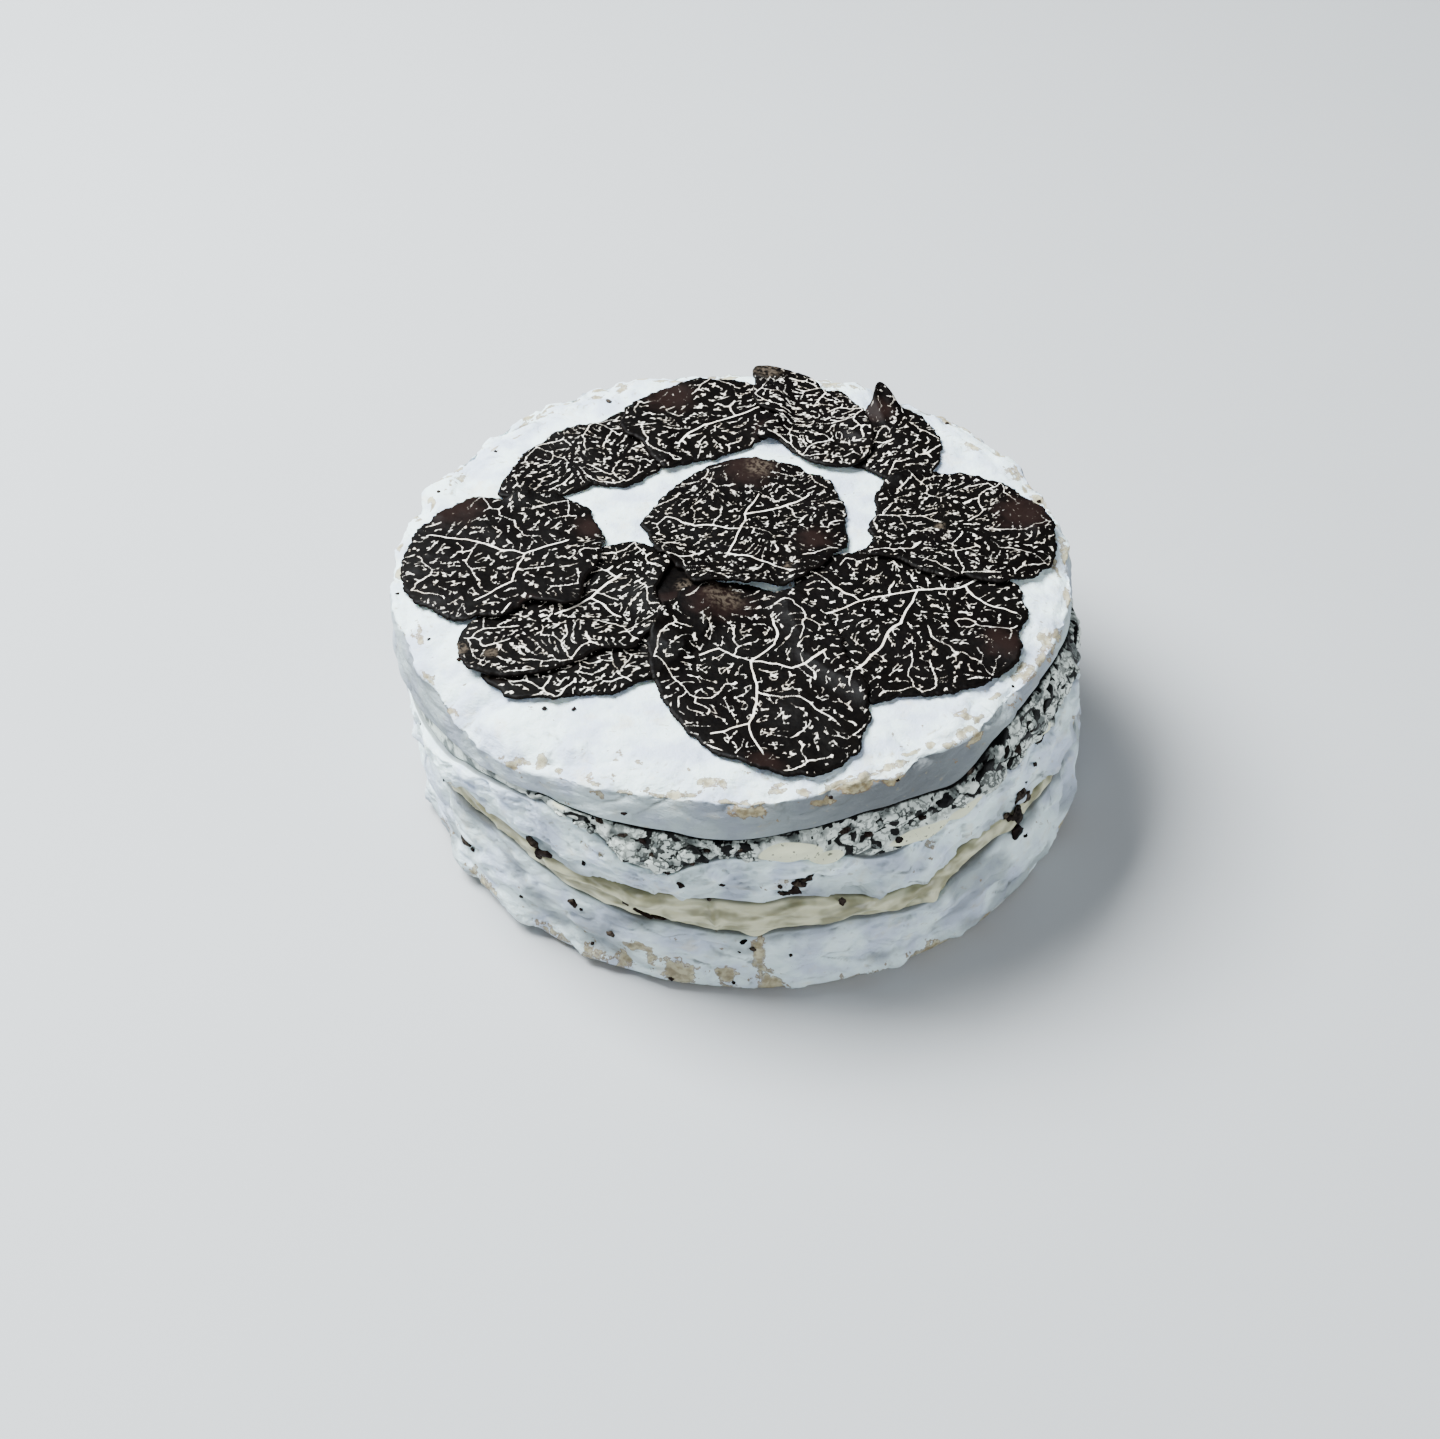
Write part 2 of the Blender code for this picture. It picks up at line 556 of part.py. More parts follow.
def build_slices(group, top_points, top_faces):
    """Lay the truffle slices on the cheese one by one, each resting on what is under it."""
    rng = np.random.default_rng(SLICE_SEED)
    a, b, c = (top_points[top_faces[:, k]] for k in range(3))
    faces_up = np.cross(b - a, c - a)[:, 2] > 0
    pile = Pile()
    pile.add(top_points, top_faces[faces_up])
    faces, links = slice_faces()
    for piece in SLICES:
        plan, shares, at = slice_plan(piece, rng)
        phases = rng.uniform(0, 2 * np.pi, 2)
        x, y = (2 * np.pi * plan / SLICE_WAVE_LENGTHS + phases).T
        wave = SLICE_WAVE * (1 + np.sin(x) * np.cos(y)) / 2
        lift = around(at, (0.0, *piece.lifts)) * shares ** 2
        under = pile.settle(plan, faces, links) + wave + lift
        thickness = SLICE_THICKNESS + (SLICE_EDGE - SLICE_THICKNESS) * shares ** 4
        lower, upper = np.column_stack([plan, under]), np.column_stack([plan, under + thickness])
        count = len(plan)
        rim = count - SLICE_SEGMENTS + np.arange(SLICE_SEGMENTS)
        rim_after = np.roll(rim, -1)
        solid = np.concatenate([faces[:, ::-1], faces + count,
                                np.stack([rim, rim_after, rim_after + count], axis=1),
                                np.stack([rim, rim_after + count, rim + count], axis=1)])
        new_object(piece.name, np.concatenate([lower, upper]), solid, group, TRUFFLE)
        pile.add(upper, faces)


def main():
    """Build the whole cheese."""
    clear_scene()
    group = new_collection("truffle_cheese")
    build_bottom(group)
    build_middle(group)
    top_points, top_faces = build_top(group)
    build_fillings(group)
    build_slices(group, top_points, top_faces)


main()
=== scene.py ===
"""The look of a soft white-rind cheese with cream and truffle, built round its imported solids.

From the bottom up the cheese is a bottom disc, a cream filling, a middle disc, a filling of curd
with chopped truffle, a top disc, and twelve thin truffle slices that overlap on the top face.
Sizes here are millimetres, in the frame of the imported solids, and become metres when a mesh is
made. Angles are degrees, counted anticlockwise from +X as seen from above; -90 is the front.
"""
import json
import logging
from collections.abc import Sequence
from dataclasses import dataclass, field
from enum import Enum

import bpy
import numpy as np
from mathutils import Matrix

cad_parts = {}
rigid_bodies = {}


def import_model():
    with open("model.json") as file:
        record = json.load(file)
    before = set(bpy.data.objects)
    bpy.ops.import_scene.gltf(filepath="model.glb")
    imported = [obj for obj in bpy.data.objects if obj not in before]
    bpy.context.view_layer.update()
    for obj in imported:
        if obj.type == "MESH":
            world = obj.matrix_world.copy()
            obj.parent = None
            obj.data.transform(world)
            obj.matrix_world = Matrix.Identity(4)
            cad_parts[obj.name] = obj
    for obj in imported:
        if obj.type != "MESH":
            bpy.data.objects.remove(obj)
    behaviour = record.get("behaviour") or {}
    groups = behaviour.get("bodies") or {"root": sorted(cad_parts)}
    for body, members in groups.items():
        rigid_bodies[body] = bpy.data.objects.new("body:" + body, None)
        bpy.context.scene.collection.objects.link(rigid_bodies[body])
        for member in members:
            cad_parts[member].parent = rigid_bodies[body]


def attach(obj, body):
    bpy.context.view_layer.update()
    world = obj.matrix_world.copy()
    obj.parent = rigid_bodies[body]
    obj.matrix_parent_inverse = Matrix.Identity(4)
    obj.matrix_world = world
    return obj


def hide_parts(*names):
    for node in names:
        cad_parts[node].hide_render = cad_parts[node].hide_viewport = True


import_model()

Triple = tuple[float, float, float]
Array = np.ndarray
Socket = bpy.types.NodeSocket

LOG = logging.getLogger("cheese")

MM = 0.001
FULL_TURN = 360.0
BODY = "root"

# Sizes shared by the layers
RADIUS = 65.0
HEIGHT = 48.5
FOOT_RADIUS = 4.0
LEVEL_RADIUS = 46.0
CREASE_RADIUS = 62.8
GAP = 0.3
LEAST_FILLING = 1.6
LEAST_DISC = 5.0
LEAN = 3.0
LEAN_FROM = 12.0
LEAN_TO = 34.0
CENTRE_SHIFT = 0.9
INNER_RADIUS = 20.0
HALF_JOINT = 0.5


class Slot(str, Enum):
    """The record's material slots."""

    RIND = "rind"
    CREAM = "cream"
    TRUFFLE_CREAM = "truffle_cream"
    TRUFFLE = "truffle"


class Mask(str, Enum):
    """Values that a mesh carries at its points for its material to read."""

    WORN = "worn"
    # Where painted shade goes: creases, crevices, joints, and round flaps and drips.
    HOLLOW = "hollow"
    # How much painted shade a wall or side of rind gets.
    SHADE = "shade"
    TONE = "tone"
    BIT = "bit"
    CREAM = "cream"
    VEIN = "vein"
    ZONE = "zone"
    EDGE = "edge"
    PALE = "pale"


def angle_between(angle: Array, centre: float) -> Array:
    """Degrees from a centre to each angle, the short way round."""
    return (angle - centre + FULL_TURN / 2) % FULL_TURN - FULL_TURN / 2


def compass(angle: Array) -> Array:
    """Unit vectors (x, y) at some angles."""
    turn = np.radians(angle)
    return np.stack([np.cos(turn), np.sin(turn)], axis=-1)


def level_points(plan: Array) -> Array:
    """Places of the plan as points at height 0."""
    return np.concatenate([plan, np.zeros((*plan.shape[:-1], 1))], axis=-1)


@dataclass(frozen=True)
class Profile:
    """A value that changes round the cheese: a mean, and bumps (angle, half width, rise)."""

    mean: float
    bumps: tuple[Triple, ...] = ()

    def at(self, angle: Array) -> Array:
        """Value at some angles: mean + sum of rise * exp(-(away / half width)^2).

        Args:
            angle: Angles in degrees.

        Returns:
            The value at each angle.
        """
        value = np.full(np.shape(angle), float(self.mean))
        for centre, half_width, rise in self.bumps:
            value += rise * np.exp(-((angle_between(angle, centre) / half_width) ** 2))
        return value


BOTTOM_TOP, MIDDLE_UNDER, MIDDLE_TOP, TOP_UNDER = 19.0, 23.0, 34.5, 38.5
BOTTOM_TOP_EDGE = Profile(18.4, (
    (-180, 30, 2.5), (-137, 12, 4.5), (-90, 22, -3.0), (-62, 8, -3.0), (-42, 10, 1.8),
    (30, 22, 2.0), (75, 14, -1.6), (128, 16, 1.4),
))
MIDDLE_UNDER_EDGE = Profile(23.6, (
    (-180, 26, -1.5), (-137, 14, 3.8), (-104, 8, 1.2), (-64, 8, -4.2), (-43, 6, 0.8),
    (-22, 14, -3.5), (48, 15, 1.8), (100, 18, 1.2),
))
MIDDLE_TOP_EDGE = Profile(34.0, (
    (-180, 30, -4.8), (-123, 15, 4.4), (-104, 6, -6.2), (-64, 10, -4.6), (-28, 12, -1.2),
    (35, 26, 2.2), (104, 20, 1.8), (140, 12, -1.0),
))
TOP_UNDER_EDGE = Profile(40.2, (
    (-180, 36, -8.6), (-92, 9, -1.6), (-52, 5, -2.4), (-30, 20, 4.6), (24, 22, 1.6),
    (82, 16, -2.0), (122, 14, -1.0), (-72, 12, 1.0),
))
BOTTOM_REACH = Profile(0.0, (
    (-160, 20, -0.6), (-128, 14, -0.8), (-60, 20, 0.3), (30, 30, -0.4), (110, 26, 0.5),
))
MIDDLE_REACH = Profile(-0.6, (
    (-165, 18, -1.0), (-14, 12, 1.8), (70, 30, 0.5), (130, 15, -0.6),
))
TOP_REACH = Profile(-1.2, (
    (-180, 30, 0.6), (-146, 12, -0.8), (-84, 10, 0.7), (-32, 18, -1.8), (44, 18, 0.3),
    (96, 20, -0.8),
))
LOWER_DEPTH = Profile(1.9, (
    (-180, 34, 1.3), (-93, 12, -0.9), (-77, 6, -0.6), (-20, 18, 0.8), (60, 30, -0.3),
    (120, 16, 0.6),
))
UPPER_DEPTH = Profile(1.9, (
    (-180, 38, 1.4), (-104, 8, -1.3), (-47, 8, -1.6), (-18, 16, -1.1), (50, 20, 0.5),
    (92, 12, -0.8),
))
SHOULDER_WIDTH = Profile(5.6, ((-134, 18, 3.6), (20, 24, 1.2), (150, 20, 1.6)))
SHOULDER_DROP = Profile(3.0, (
    (-134, 16, 4.4), (-30, 14, -0.6), (70, 18, 0.8), (150, 18, 1.2),
))
LIP_SHARE = Profile(0.14, ((-66, 34, 0.2), (-135, 18, -0.1), (60, 40, 0.1), (150, 30, 0.06)))
# Painted shade on the top disc's wall under the lip, by angle round the cheese.
LIP_SHADE = Profile(0.38, ((-64, 36, 0.62), (-150, 24, 0.4), (60, 60, 0.4)))
LIP_CORNERS = Profile(0.0, (
    (-65, 2.2, 1.1), (-58, 3.0, -0.5), (-72, 3.0, -0.5), (-48, 2.0, 0.6), (-39, 3.0, -0.5),
    (-88, 2.6, 0.6), (-95, 3.0, -0.5), (-112, 3.0, 0.5), (18, 3.0, 0.8), (66, 2.6, 0.7),
    (118, 3.0, 0.8),
))
RAGGED = Profile(1.0, ((150, 45, -0.65),))
RIPPLES = ((9, 0.22), (14, 0.24), (23, 0.22), (37, 0.16), (59, 0.10))
RIM_SINK = Profile(0.0, ((-30, 16, 0.8), (84, 12, 0.7), (150, 20, 0.4)))


def smooth_step(value: Array) -> Array:
    """Ease from 0 to 1: 3 t^2 - 2 t^3, with t held between 0 and 1."""
    t = np.clip(value, 0.0, 1.0)
    return t * t * (3.0 - 2.0 * t)


def ramp(value: Array, low: float, high: float) -> Array:
    """Ease from 0 at low to 1 at high."""
    return smooth_step((value - low) / (high - low))


def lean(points: Array) -> Array:
    """Move points towards -X by how high they stand, and centre the whole on the origin.

    Args:
        points: Points, in millimetres.

    Returns:
        The moved points.
    """
    moved = np.array(points, float)
    share = smooth_step((moved[..., 2] - LEAN_FROM) / (LEAN_TO - LEAN_FROM))
    moved[..., 0] += CENTRE_SHIFT - LEAN * share
    return moved


def edge_heights(angle: Array) -> tuple[Array, Array, Array, Array]:
    """The four joints' heights at the rim, kept at least a thin layer apart.

    Args:
        angle: Angles in degrees.

    Returns:
        Heights of the bottom disc's top, the middle disc's two edges and the top disc's edge.
    """
    ripple = [sum(height * np.sin(np.radians(times * angle) + joint * times)
                  for times, height in RIPPLES) for joint in range(1, 5)]
    bottom_top = BOTTOM_TOP_EDGE.at(angle) + ripple[0]
    middle_under = MIDDLE_UNDER_EDGE.at(angle) + ripple[1]
    middle_under = np.maximum(middle_under, bottom_top + LEAST_FILLING)
    middle_top = np.maximum(MIDDLE_TOP_EDGE.at(angle) + ripple[2], middle_under + LEAST_DISC)
    top_under = np.maximum(TOP_UNDER_EDGE.at(angle) + 0.5 * ripple[3],
                           middle_top + LEAST_FILLING)
    return bottom_top, middle_under, middle_top, top_under


class Noise:
    """Seeded gradient noise in three dimensions, worked out for many points at once."""

    CELLS = 4096
    PRIMES = (73856093, 19349663, 83492791)
    HEIGHT = 1.6
    LAYER_SHIFT = 17.3

    def __init__(self, seed: int) -> None:
        """Draw the table of gradients.

        Args:
            seed: Seed of the random draw.
        """
        rng = np.random.default_rng(seed)
        gradient = rng.normal(size=(self.CELLS, 3))
        self.gradient = gradient / np.linalg.norm(gradient, axis=1, keepdims=True)

    def cell(self, corner: Array) -> Array:
        """Table places for lattice corners, by mixing their three whole numbers."""
        mixed = corner * np.array(self.PRIMES)
        return (mixed[..., 0] ^ mixed[..., 1] ^ mixed[..., 2]) % self.CELLS

    def plain(self, points: Array, size: float | Sequence[float]) -> Array:
        """Gradient noise, about -1 to 1.

        Each of the eight corners round a point adds its gradient times the way to the point,
        weighed by 6 t^5 - 15 t^4 + 10 t^3 along each axis.

        Args:
            points: Places, in millimetres.
            size: Size of the lattice, one for all axes or one for each.

        Returns:
            The noise at each place.
        """
        place = points / np.asarray(size, float)
        base = np.floor(place).astype(np.int64)
        part = place - base
        ease = part ** 3 * (part * (part * 6.0 - 15.0) + 10.0)
        total = np.zeros(points.shape[:-1])
        for index in range(8):
            corner = np.array([index & 1, index >> 1 & 1, index >> 2 & 1])
            weight = np.where(corner, ease, 1.0 - ease).prod(axis=-1)
            total += weight * (self.gradient[self.cell(base + corner)] * (part - corner)).sum(-1)
        return total * self.HEIGHT

    def layered(self, points: Array, size: float | Sequence[float], layers: int = 3,
                gain: float = 0.5) -> Array:
        """Sum of plain noises, each of half the size and gain times the height before it.

        Args:
            points: Places, in millimetres.
            size: Size of the first lattice.
            layers: How many noises.
            gain: Height of each, as a share of the one before.

        Returns:
            The noise at each place.
        """
        total = np.zeros(points.shape[:-1])
        height, scale = 1.0, np.asarray(size, float)
        for layer in range(layers):
            total += height * self.plain(points + self.LAYER_SHIFT * layer, scale)
            height, scale = height * gain, scale / 2
        return total

    def bend(self, points: Array, size: float, shifts: Sequence[float],
             layers: int = 1) -> Array:
        """Three layered noises as a vector, each read at points moved by its own shift."""
        return np.stack([self.layered(points + shift, size, layers) for shift in shifts], axis=-1)

    def ridged(self, points: Array, size: float | Sequence[float]) -> Array:
        """Noise with sharp crests: 1 - |noise| * 2, at least -1."""
        return np.maximum(1.0 - 2.0 * np.abs(self.plain(points, size)), -1.0)


@dataclass
class Surface:
    """A closed surface of points, quads and triangles, with values at its points."""

    points: Array
    quads: Array
    triangles: Array
    values: dict[Mask, Array] = field(default_factory=dict)

    def joined(self, other: "Surface") -> "Surface":
        """This surface and another as one, where both carry the same values.

        Args:
            other: The other surface.

        Returns:
            The joint surface.
        """
        shift = len(self.points)
        return Surface(
            np.concatenate([self.points, other.points]),
            np.concatenate([self.quads, other.quads + shift]),
            np.concatenate([self.triangles, other.triangles + shift]),
            {mask: np.concatenate([self.values[mask], other.values[mask]])
             for mask in self.values},
        )

    def build(self, name: str, material: bpy.types.Material, slot: Slot,
              nodes: Sequence[str] = ()) -> bpy.types.Object:
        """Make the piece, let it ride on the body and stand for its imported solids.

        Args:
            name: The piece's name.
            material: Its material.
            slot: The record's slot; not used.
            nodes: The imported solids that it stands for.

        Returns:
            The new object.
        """
        mesh = bpy.data.meshes.new(name)
        mesh.vertices.add(len(self.points))
        mesh.vertices.foreach_set("co", (self.points * MM).astype(np.float32).ravel())
        corners = np.concatenate([self.quads.ravel(), self.triangles.ravel()])
        starts = np.concatenate([
            np.arange(len(self.quads)) * 4,
            len(self.quads) * 4 + np.arange(len(self.triangles)) * 3,
        ])
        mesh.loops.add(len(corners))
        mesh.loops.foreach_set("vertex_index", corners.astype(np.int32))
        mesh.polygons.add(len(starts))
        mesh.polygons.foreach_set("loop_start", starts.astype(np.int32))
        for mask, value in self.values.items():
            layer = mesh.attributes.new(mask.value, "FLOAT", "POINT")
            layer.data.foreach_set("value", value.astype(np.float32))
        mesh.update(calc_edges=True)
        mesh.shade_smooth()
        mesh.materials.append(material)
        piece = bpy.data.objects.new(name, mesh)
        bpy.context.scene.collection.objects.link(piece)
        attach(piece, BODY)
        if nodes:
            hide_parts(*nodes)
        faces = 2 * len(self.quads) + len(self.triangles)
        LOG.info("%s: %d triangles", name, faces)
        return piece


def round_solid(rings: Array, values: dict[Mask, Array]) -> Surface:
    """Close rings of points, from the lower middle out, up and in again, into a solid.

    Args:
        rings: Points, rows by columns by three.
        values: Values at the same points, rows by columns.

    Returns:
        The surface, with a point added in the middle of the first and the last ring.
    """
    rows, columns = rings.shape[:2]
    points = np.concatenate([rings.reshape(-1, 3), rings[:1].mean(axis=1),
                             rings[-1:].mean(axis=1)])
    here = np.arange(columns)
    after = (here + 1) % columns
    base = np.arange(rows - 1)[:, None] * columns
    quads = np.stack([base + here, base + after, base + columns + after,
                      base + columns + here], axis=-1).reshape(-1, 4)
    low, high = rows * columns, rows * columns + 1
    last = (rows - 1) * columns
    triangles = np.concatenate([
        np.stack([np.full(columns, low), after, here], axis=1),
        np.stack([last + here, last + after, np.full(columns, high)], axis=1),
    ])
    full = {mask: np.concatenate([value.ravel(), value[:1].mean(axis=1),
                                  value[-1:].mean(axis=1)]) for mask, value in values.items()}
    return Surface(points, quads, triangles, full)


def outward(rings: Array) -> Array:
    """Unit normals of rings of points, from the differences along and across them.

    Args:
        rings: Points, rows by columns by three.

    Returns:
        The normals, in the same rows and columns.
    """
    along = np.roll(rings, -1, axis=1) - np.roll(rings, 1, axis=1)
    across = np.gradient(rings, axis=0)
    normal = np.cross(along, across)
    return normal / np.maximum(np.linalg.norm(normal, axis=-1, keepdims=True), 1e-9)


@dataclass(frozen=True)
class Patch:
    """A worn patch of rind: the middle, and half sizes along the rim and across it."""

    angle: float
    radius: float
    height: float
    along: float
    across: float
    depth: float = 1.0


def patches(radius: float, rows: Sequence[tuple[float, ...]]) -> tuple[Patch, ...]:
    """Patches at one radius, from rows of (angle, height, along, across, depth)."""
    return tuple(Patch(row[0], radius, *row[1:]) for row in rows)


def patch_mask(rings: Array, spots: Sequence[Patch]) -> Array:
    """How far inside any patch a point lies: the largest of depth * exp(-distance^2).

    Args:
        rings: Points before they lean, in millimetres.
        spots: The patches.

    Returns:
        A value from 0 to the largest depth at each point.
    """
    result = np.zeros(rings.shape[:-1])
    for patch in spots:
        toward = np.append(compass(np.array(patch.angle)), 0.0)
        beside = np.array([-toward[1], toward[0], 0.0])
        away = rings - (patch.radius * toward + np.array([0.0, 0.0, patch.height]))
        along = (away @ beside) / patch.along
        across = np.hypot(away @ toward, away[..., 2]) / patch.across
        result = np.maximum(result, patch.depth * np.exp(-(along ** 2) - across ** 2))
    return result


@dataclass
class Relief:
    """The uneven surface of white rind: low lumps, puffs between creases, and thin flakes."""

    noise: Noise
    lumps: float = 0.55
    puffs: float = 1.5
    creases: float = 0.3
    flakes: float = 0.46
    bending: float = 2.2
    bend_size: float = 7.0
    lump_size: float = 15.0
    wide_size: Triple = (15.0, 15.0, 7.0)
    small_size: Triple = (7.0, 7.0, 4.0)
    crease_size: Triple = (11.0, 11.0, 4.5)
    flake_size: Triple = (9.0, 9.0, 5.0)
    flakes_per_height: float = 2.4
    # Size of the blotches of painted shade on the sides.
    side_shade_size: Triple = (18.0, 18.0, 8.0)

    def on(self, points: Array, flake_share: Array) -> tuple[Array, Array, Array]:
        """Rise along the normal, how deep in a crevice a point lies, and where flakes end.

        The lumps are noise 15 mm wide. The puffs are the size of noises 15 and 7 mm wide, so
        that they meet in sharp valleys, and are longer round the cheese than they are high.
        The creases are the sharp crests of another. The flakes are steps of a 9 mm noise, so
        that each has a level face and a scalloped edge.

        Args:
            points: Places on the surface, in millimetres.
            flake_share: How strongly the flakes show at each place.

        Returns:
            The rise in millimetres, the hollow value, where the finishes paint shade, and the
            flake edge value, 0 to 1.
        """
        noise = self.noise
        bent = points + self.bending * noise.bend(points, self.bend_size, (31.0, 57.0, 83.0))
        low = noise.layered(points, self.lump_size, 2)
        wide = noise.plain(bent, self.wide_size)
        small = noise.plain(bent + 61.0, self.small_size)
        puff = 1.25 * np.abs(wide) + 0.5 * np.abs(small) - 0.35
        valley = np.exp(-((wide / 0.045) ** 2)) * ramp(small, 0.0, 0.35)
        crease = np.clip(noise.ridged(bent + 11.0, self.crease_size) ** 7, 0.0, 1.0)
        steps = noise.layered(bent + 140.0, self.flake_size, 3, 0.55) * self.flakes_per_height
        step = np.floor(steps)
        part = steps - step
        terrace = step + ramp(part, 0.84, 1.0)
        edge = np.exp(-(((part - 0.9) / 0.09) ** 2)) * flake_share
        rise = (self.lumps * low + self.puffs * puff - self.creases * crease
                + self.flakes * flake_share * terrace)
        # Hollow: painted shade in the creases, in the valleys between puffs and on the flakes'
        # steps.
        hollow = 0.4 * crease + 0.6 * valley + 0.4 * edge
        return rise, np.clip(hollow, 0.0, 1.0), np.clip(edge, 0.0, 1.0)

    def grey(self, points: Array) -> Array:
        """Painted shade in blotches on a side of rind, 0 to 0.5: noise 18 mm long and 8 mm high.
        """
        return 0.5 * ramp(self.noise.layered(points + 200.0, self.side_shade_size, 3), 0.0, 0.45)


def linear(colour: Triple) -> tuple[float, float, float, float]:
    """A screen colour, 0 to 255, as the linear colour that a shader takes.

    Args:
        colour: The screen colour.

    Returns:
        The linear colour with alpha 1.
    """
    value = np.array(colour) / 255.0
    bright = ((value + 0.055) / 1.055) ** 2.4
    low = value / 12.92
    return (*np.where(value > 0.04045, bright, low).tolist(), 1.0)


SOCKETS = {"shine": "Specular IOR Level", "softness": "Subsurface Weight"}


class Tree:
    """Adds nodes to a material's or a group's tree, and links them."""

    def __init__(self, tree: bpy.types.NodeTree) -> None:
        """Take the tree that is to be filled."""
        self.tree = tree

    def node(self, kind: str, **settings: object) -> bpy.types.Node:
        """Add a node and set its own properties.

        Args:
            kind: The node's type.
            settings: Its properties and their values.

        Returns:
            The new node.
        """
        made = self.tree.nodes.new(kind)
        for key, value in settings.items():
            setattr(made, key, value)
        return made

    def put(self, socket: Socket, value: object) -> None:
        """Link an output to a socket, or set the socket's own value.

        Args:
            socket: The socket.
            value: The output or the value.
        """
        if isinstance(value, Socket):
            self.tree.links.new(value, socket)
        else:
            socket.default_value = value

    def mask(self, mask: Mask) -> Socket:
        """A value that the mesh carries."""
        return self.node("ShaderNodeAttribute", attribute_name=mask.value).outputs["Fac"]

    def math(self, operation: str, first: object, second: object = 0.0,
             third: object = 0.0) -> Socket:
        """One sum.

        Args:
            operation: The Math node's operation.
            first: First value.
            second: Second value.
            third: Third value.

        Returns:
            The result.
        """
        made = self.node("ShaderNodeMath", operation=operation)
        for socket, value in zip(made.inputs, (first, second, third)):
            self.put(socket, value)
        return made.outputs[0]

    def step(self, value: object, low: float, high: float, start: float = 0.0,
             end: float = 1.0) -> Socket:
        """Ease a value from start, at low, to end, at high.

        Args:
            value: The value.
            low: Where the ease begins.
            high: Where it ends.
            start: The result at low.
            end: The result at high.

        Returns:
            The result.
        """
        made = self.node("ShaderNodeMapRange", interpolation_type="SMOOTHSTEP")
        for name, given in (("Value", value), ("From Min", low), ("From Max", high),
                            ("To Min", start), ("To Max", end)):
            self.put(made.inputs[name], given)
        return made.outputs["Result"]

    def mix(self, share: object, first: object, second: object) -> Socket:
        """Blend two colours, each an output, a screen colour or a linear colour with its alpha.

        Args:
            share: How much of the second.
            first: First colour.
            second: Second colour.

        Returns:
            The blend.
        """
        made = self.node("ShaderNodeMix", data_type="RGBA")
        sockets = [socket for socket in made.inputs if socket.enabled]
        self.put(sockets[0], share)
        for socket, value in zip(sockets[1:], (first, second)):
            screen = isinstance(value, tuple) and len(value) == 3
            self.put(socket, linear(value) if screen else value)
        return [socket for socket in made.outputs if socket.enabled][0]

    def dress(self, shader: bpy.types.Node, **settings: object) -> None:
        """Link or set a shader's sockets, each named by its label in lower case.

        Args:
            shader: The shader.
            settings: The sockets' outputs or values.
        """
        for key, value in settings.items():
            label = SOCKETS.get(key, key.replace("_", " ").title())
            self.put(shader.inputs[label], value)

    def noise(self, size: float, detail: float = 2.0, rough: float = 0.5,
              stretch: Triple = (1.0, 1.0, 1.0), base: object = 0.5,
              amount: float = 1.0) -> Socket:
        """The shared grain: base + amount * (noise - 0.5), about 0 to 1 where both are left out.

        Args:
            size: Size of its blobs in millimetres.
            detail: How many finer layers it has.
            rough: How strong those are.
            stretch: Scale along each axis, to make the blobs long.
            base: The value, or a mask's output, that it makes uneven.
            amount: How uneven.

        Returns:
            The group's output.
        """
        made = self.node("ShaderNodeGroup", node_tree=grain_group())
        for name, value in (("Base", base), ("Amount", amount), ("Size", size),
                            ("Detail", detail), ("Roughness", rough), ("Stretch", stretch)):
            self.put(made.inputs[name], value)
        return made.outputs["Value"]

    def bump(self, height: Socket, depth: float, strength: float = 1.0,
             normal: Socket | None = None) -> Socket:
        """A bump of a depth in millimetres.

        Args:
            height: What it is read from.
            depth: Its depth.
            strength: Its strength.
            normal: A bump under it.

        Returns:
            The normal.
        """
        made = self.node("ShaderNodeBump")
        self.put(made.inputs["Strength"], strength)
        self.put(made.inputs["Distance"], depth * MM)
        self.put(made.inputs["Height"], height)
        if normal:
            self.put(made.inputs["Normal"], normal)
        return made.outputs["Normal"]


def grain_group() -> bpy.types.NodeTree:
    """The node group of the grain that all finishes share, made when it is first asked for.

    Returns:
        The group.
    """
    name = "uneven_grain"
    if name in bpy.data.node_groups:
        return bpy.data.node_groups[name]
    group = bpy.data.node_groups.new(name, "ShaderNodeTree")
    for label in ("Base", "Amount", "Size", "Detail", "Roughness"):
        group.interface.new_socket(label, in_out="INPUT", socket_type="NodeSocketFloat")
    group.interface.new_socket("Stretch", in_out="INPUT", socket_type="NodeSocketVector")
    group.interface.new_socket("Value", in_out="OUTPUT", socket_type="NodeSocketFloat")
    tree = Tree(group)
    given = tree.node("NodeGroupInput").outputs
    scaled = tree.node("ShaderNodeVectorMath", operation="MULTIPLY")
    tree.put(scaled.inputs[0], tree.node("ShaderNodeTexCoord").outputs["Object"])
    tree.put(scaled.inputs[1], given["Stretch"])
    grain = tree.node("ShaderNodeTexNoise")
    tree.put(grain.inputs["Vector"], scaled.outputs[0])
    tree.put(grain.inputs["Scale"], tree.math("DIVIDE", 1.0 / MM, given["Size"]))
    tree.put(grain.inputs["Detail"], given["Detail"])
    tree.put(grain.inputs["Roughness"], given["Roughness"])
    away = tree.math("SUBTRACT", grain.outputs["Fac"], 0.5)
    value = tree.math("MULTIPLY_ADD", away, given["Amount"], given["Base"])
    tree.put(tree.node("NodeGroupOutput").inputs["Value"], value)
    return group


def new_material(name: str) -> tuple[bpy.types.Material, Tree, bpy.types.Node]:
    """A material with its tree and its Principled shader.

    Args:
        name: Its name.

    Returns:
        The material, the tree and the shader.
    """
    material = bpy.data.materials.new(name)
    material.use_nodes = True
    return material, Tree(material.node_tree), material.node_tree.nodes["Principled BSDF"]


